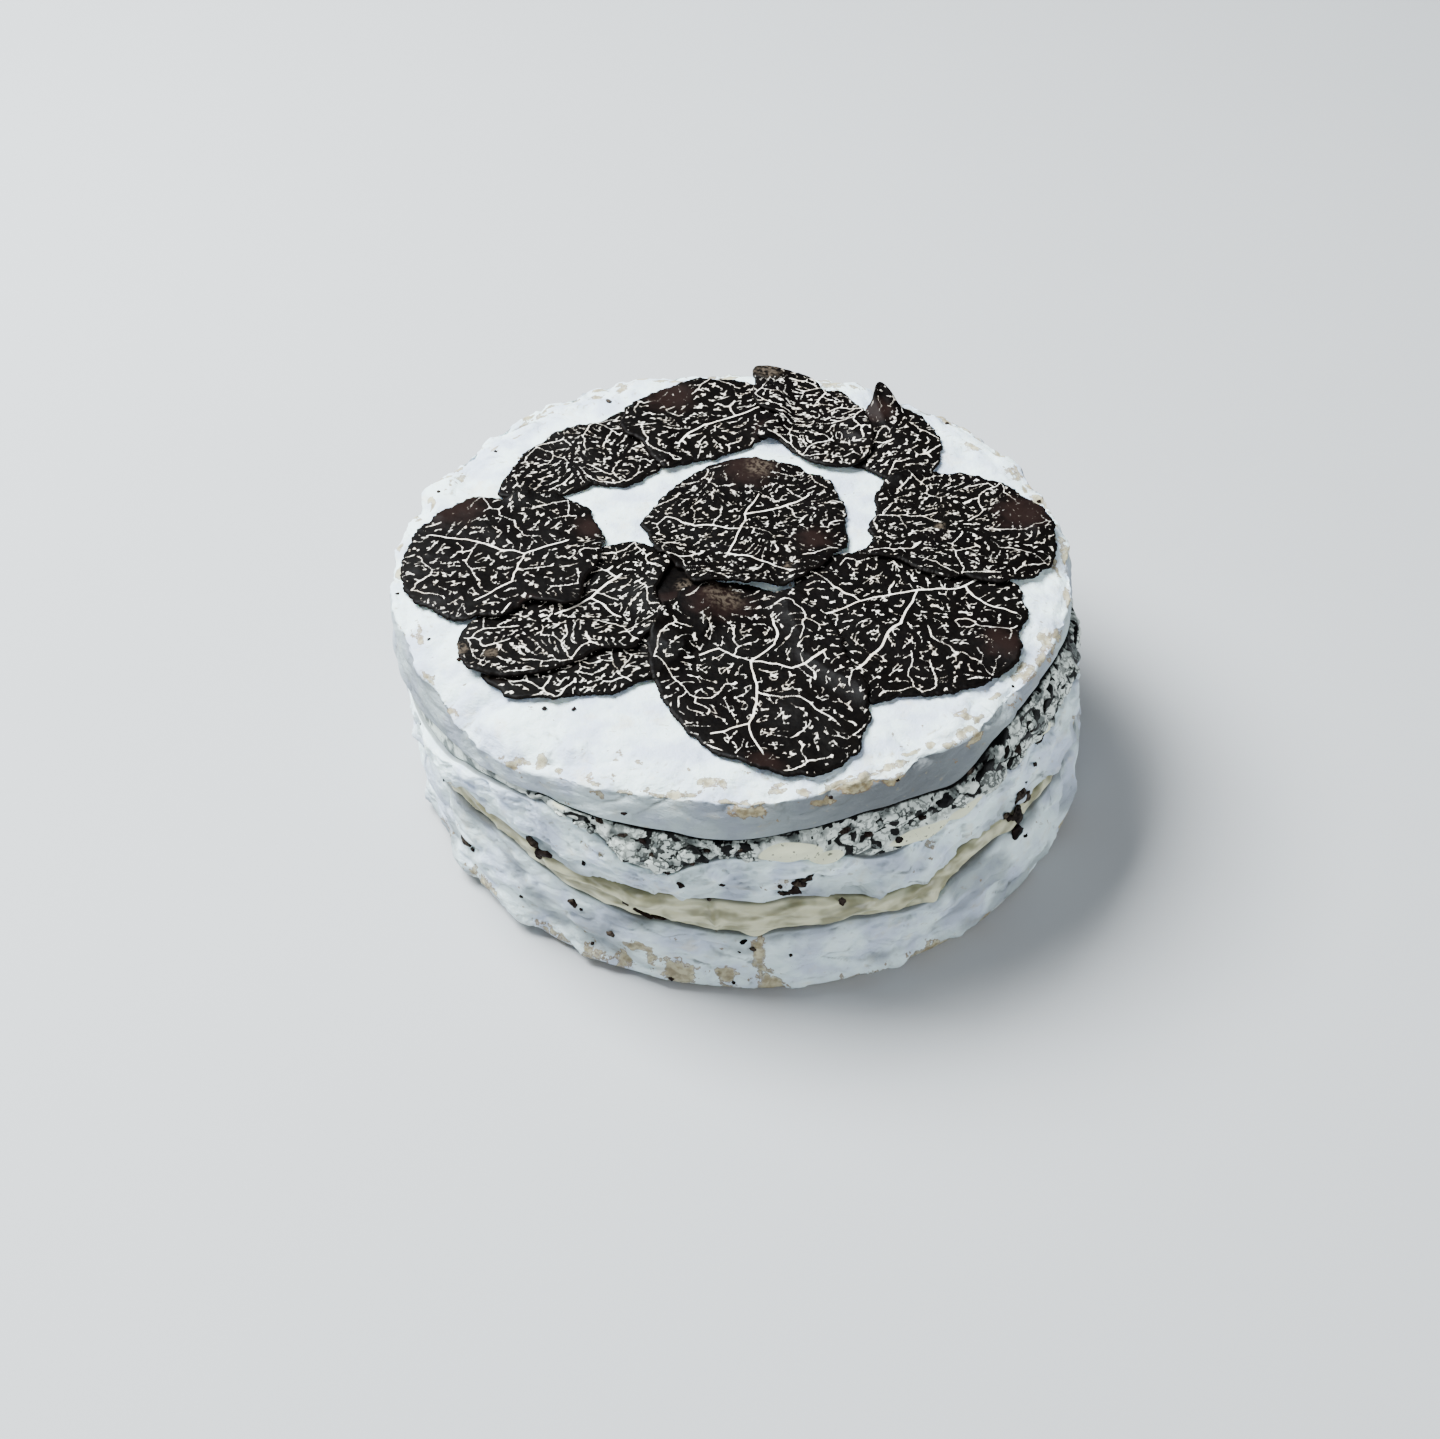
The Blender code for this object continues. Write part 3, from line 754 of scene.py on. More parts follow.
@dataclass(frozen=True)
class RindFinish:
    """White mould rind: a soft blue-white, with tan worn patches, torn edges, and painted shade on
    walls and in creases.
    """

    name: str = "white_rind"
    white: Triple = (230, 248, 250)
    cool: Triple = (198, 210, 228)
    warm: Triple = (222, 219, 200)
    # Painted shade on walls and sides.
    shaded: Triple = (100, 104, 107)
    tan: Triple = (132, 116, 80)
    tan_light: Triple = (180, 170, 134)
    outline: Triple = (120, 98, 66)
    # Painted shade in creases and crevices.
    crease: Triple = (92, 94, 90)
    roughness: float = 0.72
    shine: float = 0.25
    softness: float = 0.15
    glow_radius: Triple = (1.0, 0.8, 0.6)
    glow_depth: float = 0.9

    def make(self) -> bpy.types.Material:
        """Build the material.

        Returns:
            The material.
        """
        material, tree, shader = new_material(self.name)
        base = tree.mix(tree.step(tree.noise(8.0, 3.0), 0.40, 0.64), self.white, self.cool)
        base = tree.mix(tree.step(tree.noise(6.0, 3.0, 0.6, stretch=(1.0, 1.0, 1.7)), 0.56, 0.74,
                                  0.0, 0.5), base, self.warm)
        # Painted shade on walls and sides, from the shade mask.
        base = tree.mix(tree.mask(Mask.SHADE), base, self.shaded)
        streak = tree.noise(3.0, 4.0, 0.62)
        worn = tree.noise(1.6, 4.0, 0.6, base=tree.mask(Mask.WORN), amount=1.25)
        worn = tree.noise(3.0, 4.0, 0.62, base=worn, amount=1.25)
        tan = tree.mix(tree.step(tree.noise(1.3, 3.0), 0.35, 0.65), self.tan, self.tan_light)
        colour = tree.mix(tree.step(worn, 0.34, 0.56, 0.0, 0.9), base, tan)
        ring = tree.math("SUBTRACT", tree.step(worn, 0.33, 0.40), tree.step(worn, 0.42, 0.50))
        colour = tree.mix(tree.math("MULTIPLY", ring, 0.85), colour, self.outline)
        torn = tree.math("MULTIPLY", tree.mask(Mask.EDGE), tree.step(streak, 0.36, 0.56))
        colour = tree.mix(tree.step(torn, 0.15, 0.85, 0.0, 0.8), colour, tan)
        stroke = tree.noise(1.8, 3.0, 0.6, stretch=(0.55, 1.3, 1.3))
        colour = tree.mix(tree.step(stroke, 0.64, 0.72, 0.0, 0.4), colour, tan)
        # Painted shade in creases and crevices, from the hollow mask.
        hollow = tree.mask(Mask.HOLLOW)
        colour = tree.mix(tree.step(hollow, 0.15, 1.0, 0.0, 0.8), colour, self.crease)
        fuzz = tree.bump(tree.noise(0.5, 4.0, 0.7), 0.12, 0.8)
        ripple = tree.bump(tree.noise(2.4, 4.0, 0.6, stretch=(1.0, 1.0, 2.2)), 0.55, 0.9, fuzz)
        tree.dress(shader, base_color=colour, roughness=self.roughness, shine=self.shine,
                   softness=self.softness, subsurface_radius=self.glow_radius,
                   subsurface_scale=self.glow_depth * MM, normal=ripple)
        return material


@dataclass(frozen=True)
class CreamFinish:
    """Smooth pale cream, moist, with a few soft streaks and painted shade in its hollows."""

    name: str = "smooth_cream"
    pale: Triple = (196, 194, 162)
    deep: Triple = (134, 131, 100)
    # Painted shade in the creases, the streaks' troughs and round the drips.
    grey: Triple = (96, 97, 86)
    roughness: float = 0.38
    softness: float = 0.3
    glow_radius: Triple = (1.0, 0.85, 0.5)
    glow_depth: float = 1.6

    def make(self) -> bpy.types.Material:
        """Build the material.

        Returns:
            The material.
        """
        material, tree, shader = new_material(self.name)
        streak = tree.noise(5.0, 2.0, 0.5, stretch=(1.0, 1.0, 2.0))
        colour = tree.mix(tree.step(streak, 0.38, 0.64), self.pale, self.deep)
        # Painted shade from the hollow mask.
        hollow = tree.step(tree.mask(Mask.HOLLOW), 0.1, 1.0, 0.0, 0.8)
        colour = tree.mix(hollow, colour, self.grey)
        tree.dress(shader, base_color=colour, roughness=self.roughness, softness=self.softness,
                   subsurface_radius=self.glow_radius, subsurface_scale=self.glow_depth * MM,
                   normal=tree.bump(streak, 0.35, 0.6))
        return material


@dataclass(frozen=True)
class CurdFinish:
    """Broken grey-white curd with painted black shade in its crevices, bits of truffle and blobs
    of cream.
    """

    name: str = "truffle_curd"
    light: Triple = (214, 222, 214)
    grey: Triple = (98, 104, 101)
    cream: Triple = (224, 226, 194)
    # Black of the truffle bits and lines, and of the painted shade in crevices.
    black: Triple = (4, 4, 4)
    roughness: float = 0.5
    shine: float = 0.15

    def make(self) -> bpy.types.Material:
        """Build the material.

        Returns:
            The material.
        """
        material, tree, shader = new_material(self.name)
        mottle = tree.noise(1.4, 3.0, base=tree.mask(Mask.TONE), amount=0.9)
        colour = tree.mix(tree.step(mottle, 0.2, 0.9), self.light, self.grey)
        colour = tree.mix(tree.step(tree.mask(Mask.CREAM), 0.35, 0.6), colour, self.cream)
        flecks = tree.step(tree.noise(0.8, 2.0), 0.63, 0.68, 0.0, 0.8)
        colour = tree.mix(flecks, colour, self.black)
        away = tree.math("ABSOLUTE", tree.noise(2.2, 3.0, 0.55, base=0.0))
        line = tree.math("MULTIPLY", tree.step(away, 0.026, 0.055, 1.0, 0.0),
                         tree.mask(Mask.EDGE))
        colour = tree.mix(line, colour, self.black)
        # Painted shade, black, in the crevices, at the joints and round the lumps.
        hollow = tree.noise(0.8, 2.0, base=tree.mask(Mask.HOLLOW), amount=0.5)
        colour = tree.mix(tree.step(hollow, 0.33, 0.72), colour, self.black)
        colour = tree.mix(tree.step(tree.mask(Mask.BIT), 0.4, 0.6), colour, self.black)
        tree.dress(shader, base_color=colour, roughness=self.roughness, shine=self.shine,
                   normal=tree.bump(tree.noise(0.7, 3.0, 0.6), 0.2, 0.8))
        return material


@dataclass(frozen=True)
class TruffleFinish:
    """Truffle flesh: brown-black, with off-white veins, redder zones and pale lips."""

    name: str = "truffle_flesh"
    flesh: Triple = (7, 5, 4)
    dark: Triple = (3, 2, 2)
    red: Triple = (25, 16, 14)
    skin: Triple = (10, 7, 6)
    vein: Triple = (250, 243, 232)
    dull_vein: Triple = (222, 208, 190)
    pale: Triple = (72, 63, 54)
    roughness: float = 0.5
    shine: float = 0.04

    def make(self) -> bpy.types.Material:
        """Build the material.

        Returns:
            The material.
        """
        material, tree, shader = new_material(self.name)
        fine = tree.noise(0.8, 3.0, 0.6)
        flesh = tree.mix(tree.step(fine, 0.35, 0.65), self.dark, self.flesh)
        zone = tree.noise(2.4, 3.0, base=tree.mask(Mask.ZONE), amount=0.9)
        zone = tree.step(zone, 0.3, 1.0)
        flesh = tree.mix(zone, flesh, self.red)
        vein = tree.noise(0.5, 2.0, base=tree.mask(Mask.VEIN), amount=0.09)
        vein = tree.step(vein, -0.045, 0.035)
        bright = tree.mix(tree.step(tree.noise(3.0, 2.0), 0.35, 0.7), self.vein, self.dull_vein)
        bright = tree.mix(tree.math("MULTIPLY", zone, 0.7), bright, self.pale)
        colour = tree.mix(vein, flesh, bright)
        colour = tree.mix(tree.step(tree.mask(Mask.EDGE), 0.3, 0.8), colour, self.skin)
        pale = tree.noise(1.2, 3.0, base=tree.mask(Mask.PALE), amount=0.7)
        lips = tree.mix(tree.step(fine, 0.4, 0.6), flesh, self.pale)
        colour = tree.mix(tree.step(pale, 0.2, 0.9, 0.0, 0.9), colour, lips)
        grain = tree.bump(tree.noise(0.6, 3.0, 0.6), 0.08, 0.6)
        tree.dress(shader, base_color=colour, roughness=self.roughness, shine=self.shine,
                   normal=tree.bump(vein, 0.05, 0.5, grain))
        return material


@dataclass(frozen=True)
class FloorFinish:
    """Plain pale grey, very slightly uneven."""

    name: str = "floor_grey"
    grey: Triple = (176, 177, 179)
    darker: float = 0.96
    roughness: float = 0.8

    def make(self) -> bpy.types.Material:
        """Build the material.

        Returns:
            The material.
        """
        material, tree, shader = new_material(self.name)
        grey = linear(self.grey)
        colour = tree.mix(tree.noise(60.0), grey, tuple(self.darker * part for part in grey))
        tree.dress(shader, base_color=colour, roughness=self.roughness)
        return material


class Rings:
    """Common steps of layers that are made of rings of points round the axis."""

    columns: int

    @property
    def angle(self) -> Array:
        """Angles of the columns."""
        return np.arange(self.columns) * FULL_TURN / self.columns

    def level(self, height: float | Array, radius: float | Array) -> Array:
        """One ring of (radius, height) pairs."""
        return np.stack([np.broadcast_to(radius, self.columns),
                         np.broadcast_to(height, self.columns)], axis=-1).astype(float)

    def joint(self, edge: Array, inside: float, shares: Sequence[float],
              outer: Array | float = CREASE_RADIUS) -> list[Array]:
        """Rings of the surface between two layers, from its level part to the crease.

        Args:
            edge: Height of the joint at the rim.
            inside: Height of its level part.
            shares: Where the rings lie, 0 to 1 outwards.
            outer: Radius of the crease.

        Returns:
            The rings.
        """
        return [self.level(inside + (edge - inside) * smooth_step(np.array(share)),
                           LEVEL_RADIUS + (outer - LEVEL_RADIUS) * share)
                for share in shares]

    def turned(self, rings: Sequence[Array]) -> Array:
        """Rings of (radius, height) pairs as points round the axis."""
        pairs = np.stack(rings)
        return np.concatenate([pairs[..., :1] * compass(self.angle), pairs[..., 1:]], axis=-1)


@dataclass
class Disc(Rings):
    """One disc of cheese with its white rind: common steps of the three discs."""

    relief: Relief
    columns: int = 720

    def side(self, low: Array, high: Array, inner_low: Array | float, inner_high: Array | float,
             reach: Array, shares: Array) -> list[Array]:
        """Rings of a side that bulges out between two creases by sin(pi * share)^0.38.

        Args:
            low: Height of the side's foot.
            high: Height of its upper edge.
            inner_low: Radius at its foot.
            inner_high: Radius at its upper edge.
            reach: Radius where it bulges most.
            shares: Where the rings lie, 0 to 1 upwards.

        Returns:
            The rings.
        """
        rings = []
        for share in shares:
            inner = inner_low + (inner_high - inner_low) * share
            bulge = max(np.sin(np.pi * share), 0.0) ** 0.38
            rings.append(self.level(low + (high - low) * share, inner + (reach - inner) * bulge))
        return rings


def eased_shares(count: int, power: float = 1.0) -> Array:
    """Shares between 0 and 1, without the ends, closer together near both ends.

    Args:
        count: How many.
        power: How much closer, 0 to 1.

    Returns:
        The shares.
    """
    plain = (np.arange(count) + 1.0) / (count + 1.0)
    eased = 0.5 - 0.5 * np.cos(np.pi * plain)
    return plain + (eased - plain) * power


JOINT_SHARES = (0.0, 0.35, 0.6, 0.8, 0.92, 1.0)


@dataclass
class BottomDisc(Disc):
    """The bottom disc, which stands on a flat underside with a rounded foot."""

    side_rows: int = 56
    base_radii: tuple[float, ...] = (12.0, 30.0, 46.0, 54.0, 58.0)
    foot_rows: int = 11
    stains: tuple[Patch, ...] = patches(65, (
        (-108.6, 9.6, 2.6, 1.3, 1), (-106.2, 7, 1, 2.6, 0.8), (-111, 4, 2, 3.5, 0.7),
        (-101.5, 4.2, 3.2, 3.4, 1), (-94, 5, 1.8, 2.2, 1), (-88.8, 10, 1.3, 5.5, 0.9),
        (-86.5, 3, 2.4, 2.6, 1), (-116, 4, 3, 2.4, 0.6), (-72, 1.5, 4.5, 2, 0.8),
        (-60, 2, 5, 2.2, 0.7), (-124, 3, 5, 2.2, 0.7), (-141, 4, 6, 2, 0.6),
        (-154, 6, 3, 1.6, 0.5), (-48, 2, 4, 2, 0.6), (-20, 3, 6, 2.6, 0.8), (8, 6, 3.5, 3, 0.8),
        (35, 2.5, 6, 2.4, 0.8), (62, 7, 3, 3.2, 0.9), (88, 3, 5, 2.8, 0.8), (118, 5, 4, 3, 0.8),
        (146, 3, 6, 2.4, 0.8), (170, 4, 4, 2.6, 0.6),
    ))

    def surface(self) -> Surface:
        """Build the disc's surface.

        Returns:
            The surface, with the values that the rind's finish reads.
        """
        angle = self.angle
        edge = edge_heights(angle)[0] - GAP / 2
        reach = RADIUS + BOTTOM_REACH.at(angle)
        rings = [self.level(0.0, radius) for radius in self.base_radii]
        for turn in np.radians(np.linspace(0.0, 90.0, self.foot_rows)):
            rings.append(self.level(FOOT_RADIUS * (1 - np.cos(turn)),
                                    reach - FOOT_RADIUS * (1 - np.sin(turn))))
        first = len(rings)
        rings += self.side(FOOT_RADIUS, edge, reach, CREASE_RADIUS, reach,
                           eased_shares(self.side_rows, 0.4))
        last = len(rings)
        rings += self.joint(edge, BOTTOM_TOP - GAP / 2, JOINT_SHARES)[::-1]
        points = self.turned(rings)
        share = np.clip((np.arange(len(rings)) - first) / (last - first), 0.0, 1.0)[:, None]
        free = ramp(points[..., 2], 0.3, 3.0) * ramp(share, 1.0, 0.9)
        rise, hollow, torn = self.relief.on(points, 0.7 * free)
        worn = patch_mask(points, self.stains)
        skirt = ramp(points[..., 2], 3.0, 0.6) * 0.5
        # Painted shade in the crease where the side meets the filling.
        crease = ramp(share, 0.93, 1.0)
        # Painted shade: some all over, more towards the side's upper edge, and blotches.
        shade = 0.15 + 0.35 * ramp(share, 0.75, 1.0) + self.relief.grey(points)
        points = points + outward(points) * (rise * free)[..., None]
        points[..., 2] = np.maximum(points[..., 2], 0.0)
        return round_solid(lean(points), {
            Mask.WORN: np.maximum(worn, skirt), Mask.HOLLOW: np.maximum(hollow * free, crease),
            Mask.SHADE: shade, Mask.EDGE: 0.25 * torn * free})


@dataclass
class MiddleDisc(Disc):
    """The middle disc, between the two fillings."""

    side_rows: int = 50
    tearing: float = 3.2
    tear_size: float = 4.5
    stains: tuple[Patch, ...] = patches(64, (
        (-112, 33, 3, 1, 0.6), (-84, 28, 3.5, 1.2, 0.45), (-58, 29.5, 1, 2.2, 0.5),
        (20, 32, 4, 1.6, 0.7), (74, 29, 4, 1.8, 0.7), (128, 31, 3.5, 1.6, 0.7),
        (164, 28, 4, 1.4, 0.6),
    ))
    tongues: tuple[Patch, ...] = patches(64, (
        (-55, 30.5, 4, 2.6, 1.3), (-24, 29, 5, 2.2, 1), (-60, 24.6, 4, 3.8, 1.5),
        (-49, 25, 3.4, 3, 1.2), (-43, 29, 3.6, 2.4, 1.2), (-12, 33, 1.6, 1.6, 1.6),
        (-6, 29.5, 2.2, 1.4, 1.4), (-17, 30.5, 2.4, 1.2, 1.4), (-27, 32, 2, 1.2, 1.2),
        (-34, 29.5, 3, 1.5, 1.2), (4, 33, 2, 1.4, 1.3), (-75, 31.5, 5, 1.2, 0.8),
        (-66, 27.5, 3.5, 1.4, 0.8), (-3, 31.5, 4, 2.4, 1), (-94, 31.5, 6, 1.3, 0.6),
        (38, 31, 5, 2.6, 0.9), (112, 30, 5, 2.4, 0.9),
    ))

    def surface(self) -> Surface:
        """Build the disc's surface.

        Returns:
            The surface, with the values that the rind's finish reads.
        """
        angle = self.angle
        _, under, over, _ = edge_heights(angle)
        under, over = under + GAP / 2, over - GAP / 2
        reach = RADIUS + MIDDLE_REACH.at(angle)
        rings = [self.level(MIDDLE_UNDER + GAP / 2, INNER_RADIUS)]
        rings += self.joint(under, MIDDLE_UNDER + GAP / 2, JOINT_SHARES)
        first = len(rings)
        rings += self.side(under, over, CREASE_RADIUS, CREASE_RADIUS, reach,
                           eased_shares(self.side_rows, 0.6))
        last = len(rings)
        rings += self.joint(over, MIDDLE_TOP - GAP / 2, JOINT_SHARES)[::-1]
        rings += [self.level(MIDDLE_TOP - GAP / 2, INNER_RADIUS)]
        points = self.turned(rings)
        share = np.clip((np.arange(len(rings)) - first) / (last - first), 0.0, 1.0)[:, None]
        free = ramp(share, 0.0, 0.12) * ramp(share, 1.0, 0.88)
        rise, hollow, torn = self.relief.on(points, 1.0 * free)
        # Painted shade in the creases at both joints.
        crease = np.maximum(ramp(share, 0.06, 0.0), ramp(share, 0.94, 1.0))
        noise = self.relief.noise
        bend = noise.bend(points, self.tear_size, (210.0, 230.0, 250.0), 2)
        flap = patch_mask(points + self.tearing * bend, self.tongues)
        rise = rise + 1.0 * flap
        # Painted shade along the tongues' edges, broken up by noise.
        drawn = ramp(noise.plain(points + 270.0, 5.0), -0.05, 0.35)
        hollow = np.maximum(hollow, 0.55 * drawn * np.exp(-(((flap - 0.3) / 0.12) ** 2)))
        # Painted shade: darker on the lower half of the side, and blotches.
        shade = 0.35 * ramp(share, 0.5, 0.1) + 0.6 * self.relief.grey(points)
        points = points + outward(points) * (rise * free)[..., None]
        return round_solid(lean(points), {
            Mask.WORN: patch_mask(points, self.stains) * free,
            Mask.HOLLOW: np.maximum(hollow * free, crease), Mask.SHADE: shade,
            Mask.EDGE: 0.15 * torn * free})


def top_foot(angle: Array) -> Array:
    """Radius at which the top disc's wall meets the filling under it."""
    return np.minimum(RADIUS + TOP_REACH.at(angle) - 0.4, CREASE_RADIUS)


@dataclass
class TopDisc(Disc):
    """The top disc: a plain wall with painted shade, a ragged lip, and a bright, gently uneven top
    face.
    """

    side_rows: int = 26
    shoulder_rows: int = 16
    face_rows: int = 64
    fringe_count: int = 150
    fringe_seed: int = 14
    wave_length: float = 34.0
    wave: float = 0.2
    level_from: float = 60.0
    level_over: float = 10.0
    middle_radius: float = 3.0
    worn: tuple[Patch, ...] = tuple(Patch(*row) for row in (
        (-118, 57, 47.6, 3.2, 0.8, 0.7), (-112, 55.5, 47.9, 2.6, 0.7, 0.7),
        (-108, 60, 47, 3, 0.9, 0.8), (-103, 61.5, 46.6, 2.4, 1.2, 0.9), (-98, 57, 47.8, 2, 1, 0.7),
        (-125, 54, 48, 2.4, 0.6, 0.6), (-94, 59, 47.6, 3, 1.3, 1), (-112, 63.8, 46, 2.2, 1, 1),
        (-83, 60.5, 47.4, 2, 1.2, 0.9), (-71, 61.8, 47, 3.2, 1.2, 1),
        (-65, 62, 46.8, 2.2, 1.2, 0.9), (-48, 61.6, 46.4, 1.6, 1.5, 1.1),
        (-22, 60.6, 46.4, 4, 1.8, 0.8), (-107, 57, 47.8, 2.6, 0.7, 0.8),
        (-103, 59, 47.4, 2.4, 0.7, 0.8), (-100, 55, 48.2, 1.6, 0.7, 0.6),
        (-123, 61.5, 46.6, 1.2, 1.6, 0.8), (-130, 57, 47, 2.6, 0.7, 0.6),
        (-137, 55.5, 47.2, 2.4, 0.7, 0.5), (-88, 63.2, 46, 2.8, 1.2, 0.8),
        (-77, 63, 46, 2.4, 0.9, 0.7), (-56, 63.4, 46, 3, 0.9, 0.8),
        (-38, 60.4, 46.4, 3.5, 1.2, 0.6), (4, 61.5, 46.6, 4, 1.4, 0.7),
        (26, 61, 46.8, 3, 1.8, 0.8), (47, 62.6, 46, 4, 1.2, 0.8), (70, 60, 47, 3, 2, 0.8),
        (91, 61.6, 46.4, 4.5, 1.2, 0.8), (112, 60, 46.8, 2.6, 1.8, 0.8),
        (133, 61, 46.4, 4, 1.2, 0.7), (155, 59, 47, 3, 1.8, 0.6), (172, 62.4, 46, 3.4, 1.2, 0.5),
    ))

    def fringe(self, radius: Array, height: Array) -> tuple[Patch, ...]:
        """Small worn patches scattered along the lip.

        Args:
            radius: Radius of the lip at each column.
            height: Height of the lip at each column.

        Returns:
            The patches.
        """
        rng = np.random.default_rng(self.fringe_seed)
        spots = []
        for column in rng.integers(0, self.columns, self.fringe_count):
            inset = rng.exponential(1.5)
            spots.append(Patch(self.angle[column], radius[column] - inset,
                               height[column] + 0.3 * inset, rng.uniform(0.8, 2.6),
                               rng.uniform(0.4, 0.9), rng.uniform(0.5, 0.9)))
        return tuple(spots)

    def surface(self) -> Surface:
        """Build the disc's surface.

        Returns:
            The surface, with the values that the rind's finish reads.
        """
        angle = self.angle
        noise = self.relief.noise
        edge = edge_heights(angle)[3]
        drop, width = SHOULDER_DROP.at(angle), SHOULDER_WIDTH.at(angle)
        sink = RIM_SINK.at(angle)
        lip = HEIGHT - drop
        low = np.minimum(edge + GAP / 2, lip - LEAST_FILLING)
        reach = RADIUS + TOP_REACH.at(angle)
        toward = compass(angle)
        circle = RADIUS * level_points(toward)
        ragged = 0.5 * noise.layered(circle + 7.0, 5.0, 3) + 0.25 * noise.ridged(circle, 3.4)
        ragged = ragged * RAGGED.at(angle) + LIP_CORNERS.at(angle)
        level = TOP_UNDER + GAP / 2
        rings = [self.level(level, INNER_RADIUS)]
        foot = top_foot(angle)
        part = LIP_SHARE.at(angle)
        lip_radius = reach - part * width
        lip_height = HEIGHT - drop * (1 - np.sqrt(1 - (1 - part) ** 2))
        rings += self.joint(low, level, JOINT_SHARES, foot)
        first = len(rings)
        for share in eased_shares(self.side_rows, 0.3):
            wall = reach + (lip_radius - reach) * share ** 1.5
            out = (1 - (1 - share) ** 6) ** 0.5
            rings.append(self.level(low + (lip_height - low) * share,
                                    foot + (wall - foot) * out))
        last = len(rings)
        for share in np.linspace(0.0, 1.0, self.shoulder_rows):
            rings.append(self.level(
                HEIGHT + (lip_height - HEIGHT) * (1 - share) ** 1.5 - sink * share,
                lip_radius + (reach - width - lip_radius) * share))
        shoulder = len(rings)
        for share in np.linspace(0.0, 1.0, self.face_rows + 1)[1:]:
            radius = (reach - width) * (1 - share) + self.middle_radius * share
            inside = smooth_step((self.level_from - radius) / self.level_over)
            wave_x, wave_y = (2 * np.pi * radius * part / self.wave_length for part in toward.T)
            wave = self.wave * np.sin(wave_x + 0.6) * np.cos(wave_y - 0.4)
            dome = self.wave * (1 - (radius / RADIUS) ** 2)
            rings.append(self.level(HEIGHT + (wave + dome) * inside - sink * (1 - inside),
                                    radius))
        points = self.turned(rings)
        row = np.arange(len(rings))[:, None]
        up = np.clip((row - first) / (last - first), 0.0, 1.0)
        near_lip = np.exp(-(((row - last) / 5.0) ** 2))
        radius = np.hypot(points[..., 0], points[..., 1])
        free = ramp(up, 0.0, 0.2)
        on_top = ramp(row, last + 3.0, shoulder + 2.0)
        rim = ramp(radius, 50.0, 58.0)
        flakes = free * (0.2 + 0.5 * near_lip + 0.6 * rim * on_top)
        rise, hollow, torn = self.relief.on(points, np.clip(flakes, 0.0, 1.3))
        calm = 1.0 - 0.6 * on_top * (1.0 - 0.5 * rim) - 0.35 * (1.0 - near_lip) * (up < 1.0)
        # Painted shade in the crease at the wall's foot, and over the wall under the lip.
        crease = ramp(up, 0.05, 0.0)
        shade = ramp(up, 1.0, 0.93) * LIP_SHADE.at(angle)
        worn = patch_mask(points, self.worn + self.fringe(lip_radius, lip_height))
        points = points + outward(points) * (rise * free * calm)[..., None]
        push = ragged * (near_lip * free)
        points[..., :2] += push[..., None] * toward
        return round_solid(lean(points), {
            Mask.WORN: worn, Mask.SHADE: np.broadcast_to(shade, rise.shape),
            Mask.HOLLOW: np.maximum(hollow * free * (1 - 0.5 * on_top), crease),
            Mask.EDGE: torn * ramp(radius, 52.0, 58.0) * ramp(row, last - 3.0, last)})


@dataclass
class Filling(Rings):
    """A filling between two discs, whose face stands back from the rim by its own depth."""

    SHOWN_DEPTH = 0.45
    COVERED_DEPTH = 0.55
    COVERED_AT = -162.0
    COVERED_HALF = 38.0
    COVERED_BLUR = 8.0
    FACE_INSET = 0.4
    BULGE = 0.4

    noise: Noise
    columns: int
    rows: int
    levels: tuple[float, float]
    depth: Profile

    def covered(self, angle: Array) -> Array:
        """How far the rind closes over the filling, from 0 to 1, with its middle on one side."""
        return ramp(np.abs(angle_between(angle, self.COVERED_AT)),
                    self.COVERED_HALF + self.COVERED_BLUR, self.COVERED_HALF - self.COVERED_BLUR)

    def base(self, low: Array, high: Array, roof_radius: Array | float) -> tuple[Array, Array]:
        """Points of the plain filling, and the share of the way up its face.

        Args:
            low: Height of the disc under it at the rim, for each column.
            high: Height of the disc over it.
            roof_radius: Radius at which the face ends under that disc.

        Returns:
            The points, rows by columns, and the share of each row.
        """
        low, high = low + GAP / 2, high - GAP / 2
        back = self.SHOWN_DEPTH + self.COVERED_DEPTH * self.covered(self.angle)
        face = RADIUS - back * self.depth.at(self.angle)
        inner = CREASE_RADIUS - self.FACE_INSET
        floor, roof = self.levels[0] + GAP / 2, self.levels[1] - GAP / 2
        under = [self.level(floor, INNER_RADIUS)]
        under += self.joint(low, floor, (0.0, HALF_JOINT))
        over = self.joint(high, roof, (HALF_JOINT, 0.0))
        over.append(self.level(roof, INNER_RADIUS))
        front = []
        shares = np.linspace(0.0, 1.0, self.rows)
        for share in shares:
            bulge = max(np.sin(np.pi * share), 0.0) ** self.BULGE
            start = inner + (roof_radius - inner) * share
            front.append(self.level(low + (high - low) * share, start + (face - start) * bulge))
        share = np.concatenate([np.zeros(len(under)), shares, np.ones(len(over))])
        return self.turned(under + front + over), share[:, None]


